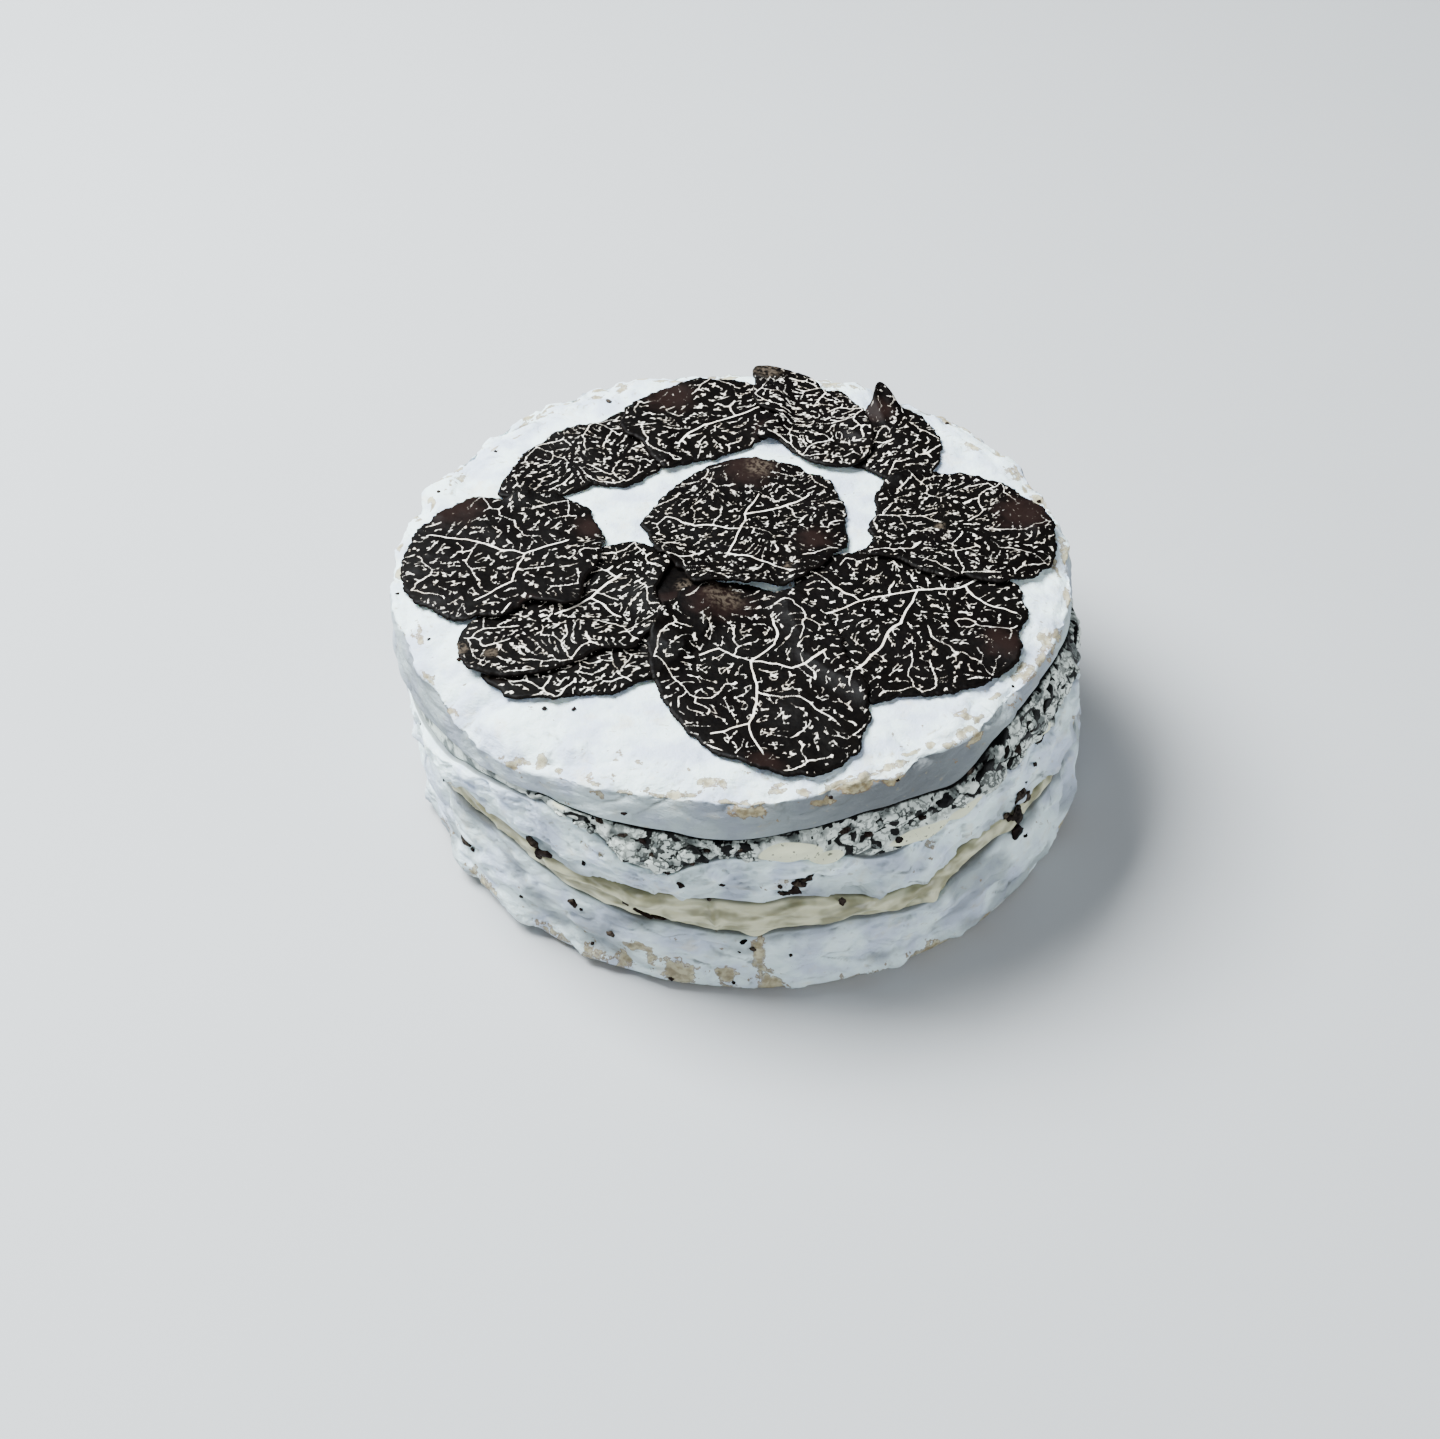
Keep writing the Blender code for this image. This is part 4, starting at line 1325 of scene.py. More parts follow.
@dataclass
class CreamFilling(Filling):
    """The lower filling of smooth cream, with drips and a few ridges."""

    drips: tuple[Patch, ...] = patches(64, (
        (-95, 20.5, 0.7, 3, 0.9), (-99, 24.4, 2, 0.6, 0.6), (-89, 16.2, 3.2, 1, 0.9),
        (-106, 22.6, 3, 1.5, 1.3), (-60, 16.5, 1.6, 1.2, 1), (-75, 20, 5, 1.2, 0.5),
        (10, 21, 4, 1.4, 0.9), (52, 22, 3, 1.6, 0.9), (96, 20, 3.6, 1.4, 0.9),
        (140, 21, 4.4, 1.2, 0.9),
    ))

    def surface(self) -> Surface:
        """Build the filling's surface.

        Returns:
            The surface, with where it is hollow.
        """
        low, high, _, _ = edge_heights(self.angle)
        points, share = self.base(low, high, CREASE_RADIUS - self.FACE_INSET)
        free = ramp(share, 0.0, 0.18) * ramp(share, 1.0, 0.82)
        noise = self.noise
        bend = noise.plain(points + 40.0, 8.0)[..., None] * np.array([0.0, 0.0, 1.4])
        streaks = noise.layered(points + bend, (9.0, 9.0, 2.2), 3)
        ridge = noise.ridged(points + bend + 60.0, (12.0, 12.0, 3.4)) ** 3
        drip = patch_mask(points, self.drips)
        rise = 0.55 * streaks + 0.55 * np.clip(ridge, 0.0, 1.0) + 1.3 * drip
        points = points + outward(points) * (rise * free)[..., None]
        # Painted shade in the creases where the filling meets the discs, in the streaks' troughs
        # and in a ring round each drip.
        crease = np.maximum(ramp(share, 0.10, 0.0), ramp(share, 0.90, 1.0))
        hollow = np.maximum(np.broadcast_to(crease, rise.shape),
                            0.5 * np.clip(-streaks - 0.4, 0.0, 1.0))
        hollow = np.maximum(hollow, 0.5 * np.exp(-(((drip - 0.3) / 0.1) ** 2)))
        return round_solid(lean(points), {Mask.HOLLOW: hollow})


def template_ball(steps: int) -> tuple[Array, Array]:
    """A unit ball with even triangles: a twenty-sided solid, each side split and pushed out.

    Args:
        steps: How many times each triangle is split into four.

    Returns:
        The points and the triangles.
    """
    golden = (1 + 5 ** 0.5) / 2
    points = np.array([(-1, golden, 0), (1, golden, 0), (-1, -golden, 0), (1, -golden, 0),
                       (0, -1, golden), (0, 1, golden), (0, -1, -golden), (0, 1, -golden),
                       (golden, 0, -1), (golden, 0, 1), (-golden, 0, -1), (-golden, 0, 1)])
    faces = np.array([
        (0, 11, 5), (0, 5, 1), (0, 1, 7), (0, 7, 10), (0, 10, 11), (1, 5, 9), (5, 11, 4),
        (11, 10, 2), (10, 7, 6), (7, 1, 8), (3, 9, 4), (3, 4, 2), (3, 2, 6), (3, 6, 8), (3, 8, 9),
        (4, 9, 5), (2, 4, 11), (6, 2, 10), (8, 6, 7), (9, 8, 1),
    ])
    for _ in range(steps):
        pairs = np.concatenate([faces[:, (0, 1)], faces[:, (1, 2)], faces[:, (2, 0)]])
        unique, back = np.unique(np.sort(pairs, axis=1), axis=0, return_inverse=True)
        middle = len(points) + back.reshape(3, -1)
        points = np.concatenate([points, points[unique].mean(axis=1)])
        first, second, third = faces.T
        a, b, c = middle
        faces = np.concatenate([np.stack([first, a, c], 1), np.stack([second, b, a], 1),
                                np.stack([third, c, b], 1), np.stack([a, b, c], 1)])
    return points / np.linalg.norm(points, axis=1, keepdims=True), faces


LUMP_CUTS = 7


@dataclass(frozen=True)
class Lump:
    """A lump on the side: angle, radius, height, and half sizes in, along and up."""

    angle: float
    radius: float
    height: float
    depth: float
    length: float
    tall: float


def lump_surface(lumps: Sequence[Lump], noise: Noise, rng: np.random.Generator, steps: int = 2,
                 uneven: float = 0.28) -> tuple[Surface, Array]:
    """Many uneven angular lumps as one surface.

    Each is the template ball, flattened a little on random sides, stretched to its half sizes,
    turned at random and set at its angle, radius and height.

    Args:
        lumps: The lumps.
        noise: The noise that makes them uneven.
        rng: The random draw of how each is cut and turned.
        steps: How finely the template is split.
        uneven: How uneven they are, as a share of their size.

    Returns:
        The surface, and the index of the lump that each point is part of.
    """
    ball, faces = template_ball(steps)
    count = len(lumps)
    cuts = rng.normal(size=(count, LUMP_CUTS, 3))
    cuts /= np.linalg.norm(cuts, axis=-1, keepdims=True)
    over = np.einsum("pk,nck->npc", ball, cuts)
    limit = rng.uniform(0.55, 0.9, (count, 1, LUMP_CUTS))
    scale = np.min(np.where(over > limit, limit / np.maximum(over, 1e-6), 1.0), axis=-1)
    body = ball[None] * scale[..., None]
    shift = rng.uniform(-500.0, 500.0, (count, 1, 3))
    body = body * (1.0 + uneven * noise.layered(ball[None] * 1.2 + shift, 0.9, 2))[..., None]
    sizes = np.array([(lump.depth, lump.length, lump.tall) for lump in lumps])
    body = body * sizes[:, None, :]
    tilt = rng.uniform(-0.5, 0.5, (count, 1))
    along = body[..., 1] * np.cos(tilt) - body[..., 2] * np.sin(tilt)
    up = body[..., 1] * np.sin(tilt) + body[..., 2] * np.cos(tilt)
    turn = np.radians([lump.angle for lump in lumps])[:, None]
    out = body[..., 0] + np.array([lump.radius for lump in lumps])[:, None]
    points = np.stack([out * np.cos(turn) - along * np.sin(turn),
                       out * np.sin(turn) + along * np.cos(turn),
                       up + np.array([lump.height for lump in lumps])[:, None]], axis=-1)
    all_faces = (faces[None] + np.arange(count)[:, None, None] * len(ball)).reshape(-1, 3)
    owner = np.repeat(np.arange(count), len(ball))
    return Surface(points.reshape(-1, 3), np.zeros((0, 4), int), all_faces), owner


UPPER_LUMPS = (
    (-107, 0.40, 3.0, 2.0), (-102, 0.25, 2.4, 2.6), (-97, 0.60, 2.2, 1.8), (-88, 0.50, 3.0, 2.0),
    (-79, 0.50, 2.6, 2.2), (-70, 0.40, 3.4, 2.6), (-60, 0.50, 3.8, 3.0), (-53, 0.60, 2.4, 2.0),
    (-46.5, 0.50, 4.2, 4.6), (-37, 0.40, 3.0, 3.0), (-29, 0.60, 2.8, 3.0), (-20, 0.45, 3.0, 3.4),
    (-10, 0.55, 2.6, 3.0),
)
GREY_LUMP = UPPER_LUMPS[8]


@dataclass
class CurdFilling(Filling):
    """The upper filling: broken curd, black bits and painted black shade between the lumps, and
    blobs of cream.
    """

    seed: int = 21
    scattered: int = 60
    lump_margin: float = 0.5
    lump_sunk: float = 0.35
    black_share: float = 0.16
    plain_middle: float = -25.0
    plain_half: float = 28.0
    front_tone: float = 0.5
    blobs: tuple[Patch, ...] = patches(64, (
        (-81.5, 36.6, 5.6, 2.7, 1.4), (-76, 34.4, 3.6, 1.8, 1.3), (-60, 33.4, 7.5, 1.9, 1.2),
        (-52, 34.6, 4, 1.4, 1.1), (-118, 40, 3, 1, 0.9), (-30, 36, 3, 1.6, 0.9),
        (15, 39, 4, 1.8, 1.1), (70, 38, 4.4, 1.6, 1.1), (126, 38, 3.6, 1.8, 1.1),
    ))
    lined: tuple[Patch, ...] = patches(64, (
        (-102, 34, 7, 7, 1), (-90, 38, 5, 2, 0.6), (-66, 38.5, 8, 3, 0.9), (-36, 40, 7, 6, 0.9),
        (-20, 40, 9, 5, 0.7), (40, 40, 20, 5, 0.6), (110, 40, 20, 5, 0.6),
    ))

    def surface(self) -> Surface:
        """Build the filling's surface with its lumps.

        Returns:
            The surface, with the values that the curd's finish reads.
        """
        angle = self.angle
        _, _, low, high = edge_heights(angle)
        points, share = self.base(low, high, top_foot(angle) - 0.3)
        noise = self.noise
        free = ramp(share, 0.0, 0.12) * ramp(share, 1.0, 0.88)
        bent = points + 0.8 * noise.bend(points, 3.0, (5.0, 10.0, 15.0))
        wide, small = noise.plain(bent, 6.0), noise.plain(bent + 90.0, 2.6)
        drawn = noise.layered(bent + 40.0, 4.0, 3, 0.6)
        bits = noise.layered(bent + 150.0, 2.2, 2)
        cream = patch_mask(points + 1.1 * noise.plain(points + 70.0, 5.0)[..., None], self.blobs)
        shown = 1.0 - self.covered(angle)
        rough = ramp(cream, 0.6, 0.3) * (0.15 + 0.85 * shown)
        rise = (2.4 * np.abs(wide) + 1.0 * np.abs(small) - 0.7) * rough + 1.6 * cream
        # Painted shade in the valleys between the lumps and in finer cracks.
        lines = np.exp(-((wide / 0.06) ** 2)) * ramp(small, -0.3, 0.0)
        hair = np.exp(-((small / 0.07) ** 2)) * ramp(drawn, -0.15, 0.2)
        hollow = np.maximum(lines, 0.85 * hair) * rough
        # Painted shade at the joints with the discs above and below.
        joint_shade = np.maximum(ramp(share, 0.03, 0.0), ramp(share, 0.95, 1.0))
        hollow = np.maximum(hollow, joint_shade * (0.4 + 0.6 * shown))
        bit = rough * ramp(bits, 0.33, 0.41)
        points = lean(points + outward(points) * (rise * free)[..., None])
        lined = rough * (0.35 + 0.65 * np.clip(patch_mask(points, self.lined), 0.0, 1.0))
        base = round_solid(points, {Mask.HOLLOW: hollow, Mask.TONE: 0.40 + 0.9 * drawn,
                                    Mask.BIT: bit, Mask.CREAM: ramp(cream, 0.35, 0.75),
                                    Mask.EDGE: lined})
        return base.joined(self.lumps(low, high))

    def lumps(self, low: Array, high: Array) -> Surface:
        """Lumps that stand out of the filling: those seen in front, and others all round.

        Args:
            low: Height of the disc under it at the rim, for each column.
            high: Height of the disc over it.

        Returns:
            The lumps as one surface.
        """
        rng = np.random.default_rng(self.seed)
        angle = self.angle
        places = list(UPPER_LUMPS)
        for turn in rng.uniform(-118.0, 180.0, self.scattered):
            size = rng.uniform(0.7, 1.9)
            places.append((turn, rng.uniform(0.12, 0.88), size, size * rng.uniform(0.6, 1.0)))
        lumps = []
        hidden = self.covered(np.array([place[0] for place in places]))
        for (turn, share, length, tall), over in zip(places, hidden):
            if over >= 0.5:
                continue
            floor = np.interp(turn % FULL_TURN, angle, low) + self.lump_margin
            roof = np.interp(turn % FULL_TURN, angle, high) - self.lump_margin
            tall = min(tall, (roof - floor) / 2)
            height = np.clip(floor + (roof - floor) * share, floor + tall, roof - tall)
            face = RADIUS - self.SHOWN_DEPTH * float(self.depth.at(np.array(turn)))
            lumps.append(Lump(turn, face - self.lump_sunk, height,
                              min(1.5, 0.3 + 0.6 * length), length, tall))
        surface, owner = lump_surface(lumps, self.noise, rng)
        centre = np.array([lump.radius for lump in lumps])[owner]
        depth = np.array([lump.depth for lump in lumps])[owner]
        out = np.hypot(surface.points[:, 0], surface.points[:, 1]) - centre
        # Painted shade over each lump except its outer face, down into the curd.
        rim = ramp(out / depth, 0.62, 0.32)
        surface.points = lean(surface.points)
        tone = rng.uniform(0.1, 0.8, len(lumps))
        black = rng.uniform(size=len(lumps)) < self.black_share
        black[:len(UPPER_LUMPS)] = False
        black &= np.array([abs(lump.angle - self.plain_middle) > self.plain_half
                           for lump in lumps])
        tone[:len(UPPER_LUMPS)] *= self.front_tone
        tone[UPPER_LUMPS.index(GREY_LUMP)] = self.front_tone
        surface.values = {Mask.HOLLOW: rim, Mask.TONE: tone[owner],
                          Mask.BIT: black[owner].astype(float),
                          Mask.CREAM: np.zeros(len(owner)), Mask.EDGE: np.full(len(owner), 0.8)}
        return surface


@dataclass(frozen=True)
class VeinStyle:
    """How a slice's veins look, in millimetres.

    The spacing of the fine veins, the spacing of the net of longer ones, the area that each
    separate fine vein gets, and how much wider than usual all of them are.
    """

    spacing: float = 1.1
    net: float = 4.4
    area: float = 14.0
    width: float = 0.0


@dataclass(frozen=True)
class Slice:
    """One truffle slice, with its outline, where it lifts, its veins and its stained zones.

    Zones and pale spots are (x, y, half size), in the frame of the slices' middles.
    """

    name: str
    middle: tuple[float, float]
    half_length: float
    half_width: float
    turn: float
    corners: tuple[Triple, ...] = ()
    lifts: tuple[Triple, ...] = ()
    style: VeinStyle = VeinStyle()
    mains: tuple[tuple[tuple[float, float], ...], ...] = ()
    zones: tuple[Triple, ...] = ()
    pales: tuple[Triple, ...] = ()

    @property
    def place(self) -> Array:
        """Its middle, with the whole cheese centred."""
        return np.array(self.middle) + np.array([CENTRE_SHIFT, 0.0])

    def reach(self, angle: Array) -> Array:
        """Distance of the outline from the middle: an ellipse with the corners added.

        Args:
            angle: Angles in degrees.

        Returns:
            The distance at each angle.
        """
        away = np.radians(angle - self.turn)
        plain = 1.0 / np.hypot(np.cos(away) / self.half_length, np.sin(away) / self.half_width)
        return plain + Profile(0.0, self.corners).at(angle)


SLICES = (
    Slice("slice_under", (-13, -14), 13.0, 6.0, 90, style=VeinStyle(1.0, 4.4, 14.0, -0.16),
          zones=((-14, -16, 6),), pales=((-13, -18, 3.0), (-12, -10, 2.0))),
    Slice("slice_right_front", (28, -18), 22.0, 20.5, -15,
          corners=((-109, 8, 3.4), (139, 12, 2.0), (80, 14, -4.0), (20, 8, 1.8), (-10, 8, -1.8),
                   (-169, 12, -2.0)), lifts=((-25, 12, 0.6),), style=VeinStyle(1.2, 4.6),
          mains=(((10, -18), (20, -14), (30, -11), (39, -9), (46, -6)),
                 ((30, -11), (27, -20), (20, -30), (14, -36)), ((39, -9), (44, -15), (48, -17)),
                 ((20, -14), (14, -8), (9, -2))), zones=((45, -25, 5),)),
    Slice("slice_front_left_low", (-30, -30), 18.0, 8.5, 14,
          corners=((-158, 8, -1.5), (-54, 10, 0.5)), lifts=((-120, 20, 0.5),),
          style=VeinStyle(0.95, 4.0), zones=((-44, -31, 5),), pales=((-46, -33, 1.6),)),
    Slice("slice_back_left", (-30, 30), 17.0, 10.5, 25,
          corners=((-146, 11, 5.0), (-92, 20, -3.0), (71, 12, 3.0), (18, 15, -2.0)),
          lifts=((120, 20, 0.4),), style=VeinStyle(0.92, 3.4, 10.0, -0.01)),
    Slice("slice_back", (-9, 43), 17.0, 13.0, 27, corners=((-114, 12, 3.5), (-145, 12, -2.0)),
          lifts=((100, 18, 0.6),), style=VeinStyle(1.15, 4.6),
          mains=(((-14, 34), (-9, 40), (-2, 44), (4, 47)),), zones=((-16, 50, 7), (4, 38, 4))),
    Slice("slice_back_right", (29, 35), 12.0, 9.0, 100,
          corners=((98, 8, 5.0), (-173, 15, -3.5), (-142, 10, 1.5)), lifts=((98, 14, 3.4),),
          style=VeinStyle(1.05, 4.4), zones=((26, 44, 4),)),
    Slice("slice_back_tip", (13, 43), 18.0, 10.0, 114,
          corners=((121, 10, 4.0), (180, 12, -4.0), (-147, 10, 3.5), (76, 10, -2.5)),
          lifts=((122, 22, 1.0), (-80, 20, 0.8)), style=VeinStyle(0.95, 4.0),
          pales=((4, 59, 3.5),)),
    Slice("slice_right", (40, 8), 19.0, 16.0, -42,
          corners=((-154, 8, 4.0), (-91, 12, -2.0), (160, 12, -1.5), (131, 8, 1.0)),
          lifts=((10, 24, 0.7),), style=VeinStyle(1.0, 4.2, 12.0, -0.01), zones=((52, 12, 7),),
          pales=((36, 8, 1.2),)),
    Slice("slice_front_left", (-33, -16), 23.5, 13.0, 43,
          corners=((-40, 14, 3.5), (-15, 14, 3.0), (19, 12, -3.5), (60, 12, 1.5), (114, 14, -5.0),
                   (180, 14, -2.0)), lifts=((-140, 12, 0.8),), style=VeinStyle(1.0, 3.8),
          mains=(((-24, -6), (-29, -13), (-36, -17)), ((-29, -13), (-24, -18))),
          pales=((-52, -27, 2.4), (-46, -29, 1.6))),
    Slice("slice_left", (-46, 0), 20.0, 18.0, 54,
          corners=((-69, 12, -3.0), (-46, 10, 3.0), (92, 12, -2.0), (46, 10, 1.0)),
          lifts=((-60, 20, 0.5),), style=VeinStyle(1.25, 4.6, 16.0, 0.0),
          mains=(((-60, 6), (-50, 3), (-42, 0), (-34, 4)), ((-42, 0), (-44, -10), (-50, -14))),
          zones=((-56, 14, 7), (-30, 8, 4), (-40, -16, 3))),
    Slice("slice_front", (1, -33), 25.5, 18.0, 111,
          corners=((-62, 12, 1.6), (-48, 6, 1.4), (-31, 6, 1.0), (12, 18, -1.8), (70, 8, 1.5)),
          lifts=((-80, 24, 0.5),), style=VeinStyle(1.3, 4.8, 18.0, 0.0),
          mains=(((0, -30), (4, -25), (4, -19)), ((0, -30), (-6, -27), (-12, -29)),
                 ((0, -30), (1, -38), (-1, -46), (2, -54)), ((1, -38), (8, -40), (14, -45)),
                 ((0, -30), (7, -32), (13, -28)), ((-1, -46), (-7, -48))),
          zones=((-6, -14, 7), (2, -56, 4)), pales=((-5, -13, 3.5),)),
    Slice("slice_centre", (0, 9), 20.0, 18.5, 73,
          corners=((-118, 6, 2.0), (-89, 12, -1.2), (40, 10, 1.3), (177, 10, 1.7), (95, 10, 1.0)),
          lifts=((-90, 24, 1.0), (95, 30, 0.4)), style=VeinStyle(1.0, 4.2, 14.0, -0.012),
          mains=(((-4, 0), (-2, 7), (-1, 12), (2, 18)), ((-1, 12), (6, 14), (11, 18)),
                 ((-2, 7), (-10, 8), (-15, 11)), ((-4, 0), (3, -3), (8, -6))),
          zones=((0, 26, 7), (12, 4, 4)), pales=((7, -4, 1.0), (2, 26, 3.0))),
)


class VeinTree:
    """Veins that grow as they do in a leaf, towards places that no vein has reached yet.

    A node has the node that it grew from, and a level: 0 for the listed main veins, 1 for the
    net of long ones and 2 for the fine ones.
    """

    STEP = 0.34
    ROUNDS = 70
    REACH = 3.2
    LIKING = 1.4
    OWN_NODES = 8

    def __init__(self, rng: np.random.Generator) -> None:
        """Start without any node.

        Args:
            rng: The random draw of all that grows.
        """
        self.rng = rng
        self.phases = rng.uniform(0.0, 2 * np.pi, 4)
        self.nodes = np.zeros((0, 2))
        self.parent = np.zeros(0, int)
        self.level = np.zeros(0, int)

    def add(self, nodes: Array, parent: Array | int, level: int) -> int:
        """Add nodes of one level.

        Args:
            nodes: Their places.
            parent: The nodes that they grew from.
            level: Their level.

        Returns:
            The first one's number.
        """
        first = len(self.nodes)
        self.nodes = np.concatenate([self.nodes, nodes])
        self.parent = np.concatenate([self.parent, np.broadcast_to(parent, len(nodes))])
        self.level = np.concatenate([self.level, np.full(len(nodes), level)])
        return first

    def line(self, corners: Sequence[tuple[float, float]]) -> None:
        """Add a main vein along straight stretches between corners.

        Args:
            corners: Its corners (x, y).
        """
        places = np.array(corners, float)
        for start, end in zip(places[:-1], places[1:]):
            parts = max(int(np.linalg.norm(end - start) / self.STEP), 1)
            share = np.arange(parts + 1)[:, None] / parts
            number = len(self.nodes)
            before = np.concatenate([[-1], number + np.arange(parts)])
            self.add(start + (end - start) * share, before, 0)

    def swirl(self, nodes: Array) -> Array:
        """The way the fine veins like to run: outwards, turned by waves over the plan.

        Args:
            nodes: Places of the veins.

        Returns:
            A unit vector at each place.
        """
        x, y = nodes[:, 0], nodes[:, 1]
        turn = np.arctan2(y, x) + np.sin(x / 3.7 + y / 9.0 + self.phases[0]) * 1.1
        turn = turn + np.sin(y / 4.3 - x / 7.0 + self.phases[1]) * 1.1
        return np.stack([np.cos(turn), np.sin(turn)], axis=-1)

    def grow(self, places: Array, roots: Array, level: int, near: float, sprouting: float,
             turning: float, forks: int) -> None:
        """Grow one level of veins from roots, and here and there from the veins before.

        In each round every place pulls at its nearest node, each pulled node grows one step
        towards the mean of its places, and the places that are now reached are dropped.

        Args:
            places: The places to reach.
            roots: Where new veins start.
            level: The level of the new nodes.
            near: How near a node must come to reach a place.
            sprouting: The share of older nodes that a branch may grow from.
            turning: How much the steps waver.
            forks: How many branches may leave one new node.
        """
        self.add(roots, -1, level)
        old = self.rng.uniform(size=len(self.nodes)) < sprouting
        room = np.where(self.level == level, forks, old).astype(int)
        closest = np.full(len(places), np.inf)
        owner = np.zeros(len(places), int)
        fresh = 0
        for _ in range(self.ROUNDS):
            distance = np.linalg.norm(places[:, None] - self.nodes[None, fresh:], axis=-1)
            nearest = distance.argmin(axis=1)
            least = distance.min(axis=1)
            owner = np.where(least < closest, nearest + fresh, owner)
            closest = np.minimum(closest, least)
            left = closest > near
            places, closest, owner = places[left], closest[left], owner[left]
            pull = np.zeros_like(self.nodes)
            felt = closest < max(self.REACH, 20.0 * near * (level == 1))
            toward = (places - self.nodes[owner]) / closest[:, None]
            np.add.at(pull, owner[felt], toward[felt])
            growing = np.flatnonzero((np.abs(pull).sum(axis=1) > 0.0) & (room > 0))
            if not len(growing):
                break
            way = pull[growing]
            way /= np.maximum(np.linalg.norm(way, axis=1, keepdims=True), 1e-6)
            if level == 2:
                liked = self.swirl(self.nodes[growing])
                way += self.LIKING * liked * np.sign((way * liked).sum(1, keepdims=True))
            way += turning * self.rng.normal(size=way.shape)
            way /= np.linalg.norm(way, axis=1, keepdims=True)
            room[growing] -= 1
            fresh = self.add(self.nodes[growing] + self.STEP * way, growing, level)
            room = np.concatenate([room, np.full(len(growing), forks)])

    def join(self, level: int, far: float, share: float) -> None:
        """Join some tips of a level to the nearest other vein, which closes loops.

        Args:
            level: The level.
            far: The longest gap that is closed.
            share: The share of the tips that are tried.
        """
        count = len(self.nodes)
        children = np.bincount(self.parent[self.parent >= 0], minlength=count)
        picked = self.rng.uniform(size=count) < share
        tips = np.flatnonzero((children == 0) & (self.level == level) & picked)
        distance = np.linalg.norm(self.nodes[tips][:, None] - self.nodes[None], axis=-1)
        before = tips
        row = np.arange(len(tips))
        for _ in range(self.OWN_NODES):
            known = before >= 0
            distance[row[known], before[known]] = np.inf
            before = np.where(known, self.parent[np.maximum(before, 0)], -1)
        nearest = distance.argmin(axis=1)
        close = distance[row, nearest] < far
        self.add(self.nodes[nearest[close]], tips[close], level)


class VeinField:
    """How far inside a vein each cell of a slice's square plan grid lies."""

    CELLS = 380
    STEP = 0.15
    BLEND = 0.06
    WIDTHS = (0.12, 0.062, 0.026)
    UNEVEN = 0.014
    LOST = 0.004
    DETACHED = 0.18
    RIM_INSET = 0.35
    RIM_PITCH = 1.25
    RIM_SHARE = 0.7
    PITCH = 0.62
    NEAR_CELLS = 5

    def __init__(self, piece: Slice, seed: int) -> None:
        """Grow the veins and work out the field.

        Args:
            piece: The slice.
            seed: Seed of all random draws.
        """
        rng = np.random.default_rng(seed)
        self.half = self.CELLS * self.STEP / 2
        self.middle = np.array(piece.middle, float)
        style = piece.style
        tree = VeinTree(rng)
        for corners in piece.mains:
            tree.line([(x - self.middle[0], y - self.middle[1]) for x, y in corners])
        length = 2 * np.pi * piece.half_width
        around = np.arange(0.0, FULL_TURN, FULL_TURN * self.RIM_PITCH / length)
        around = around[rng.uniform(size=len(around)) < self.RIM_SHARE]
        rim = (piece.reach(around) - self.RIM_INSET) * compass(around).T
        tree.grow(self.scattered(piece, rng, style.net * self.PITCH, 0.0), rim.T[::9], level=1,
                  near=0.42 * style.net, sprouting=0.08, turning=0.26, forks=2)
        tree.join(1, 0.7 * style.net, 0.5)
        roots = self.scattered(piece, rng, style.area ** 0.5, 1.0)
        tree.grow(self.scattered(piece, rng, style.spacing * self.PITCH, 0.0),
                  np.concatenate([roots, rim.T]), level=2, near=0.5 * style.spacing,
                  sprouting=0.22, turning=0.3, forks=3)
        tree.join(2, 0.9 * style.spacing, 0.5)
        self.value = self.drawn(tree, rng) + style.width

    def scattered(self, piece: Slice, rng: np.random.Generator, pitch: float,
                  inset: float) -> Array:
        """One random place in each square of a grid, kept where it lies inside the slice.

        Args:
            piece: The slice.
            rng: The random draw.
            pitch: Size of the squares.
            inset: How far inside the outline a place must lie.

        Returns:
            The places that are kept.
        """
        corner = np.arange(-self.half, self.half, pitch)
        x, y = np.meshgrid(corner, corner, indexing="ij")
        place = np.stack([x, y], axis=-1).reshape(-1, 2)
        place = place + rng.uniform(0.0, pitch, place.shape)
        angle = np.degrees(np.arctan2(place[:, 1], place[:, 0]))
        return place[np.hypot(place[:, 0], place[:, 1]) < piece.reach(angle) - inset]

    def drawn(self, tree: VeinTree, rng: np.random.Generator) -> Array:
        """The field of a tree: its parts' half widths less the distance to them.

        Each part adds exp((half width - distance) / blend) to the cells near it, and the field
        is blend * log of the sum, which fills the corners where parts meet.

        Args:
            tree: The veins.
            rng: The random draw of uneven widths and lost parts.

        Returns:
            The field, positive inside the veins.
        """
        end = np.flatnonzero(tree.parent >= 0)
        fine = tree.level[end] == 2
        branching = tree.level[tree.parent[end]] < tree.level[end]
        lost = rng.uniform(size=len(end)) < np.where(branching, self.DETACHED, self.LOST)
        end = end[~(fine & lost)]
        first, last = tree.nodes[tree.parent[end]], tree.nodes[end]
        width = np.array(self.WIDTHS)[tree.level[end]]
        width = width + self.UNEVEN * rng.normal(size=len(end)) * (tree.level[end] == 2)
        step = np.arange(-self.NEAR_CELLS, self.NEAR_CELLS + 1)
        near = np.stack(np.meshgrid(step, step, indexing="ij"), axis=-1).reshape(-1, 2)
        cell = np.round(((first + last) / 2 + self.half) / self.STEP).astype(int)
        cell = cell[:, None] + near
        away = cell * self.STEP - self.half - first[:, None]
        way = (last - first)[:, None]
        share = (away * way).sum(-1) / np.maximum((way * way).sum(-1), 1e-9)
        distance = np.linalg.norm(away - np.clip(share, 0.0, 1.0)[..., None] * way, axis=-1)
        held = ((cell >= 0) & (cell < self.CELLS)).all(axis=-1)
        grid = np.full((self.CELLS, self.CELLS), 1e-4)
        np.add.at(grid, (cell[..., 0][held], cell[..., 1][held]),
                  np.exp((width[:, None] - distance) / self.BLEND)[held])
        return self.BLEND * np.log(grid)

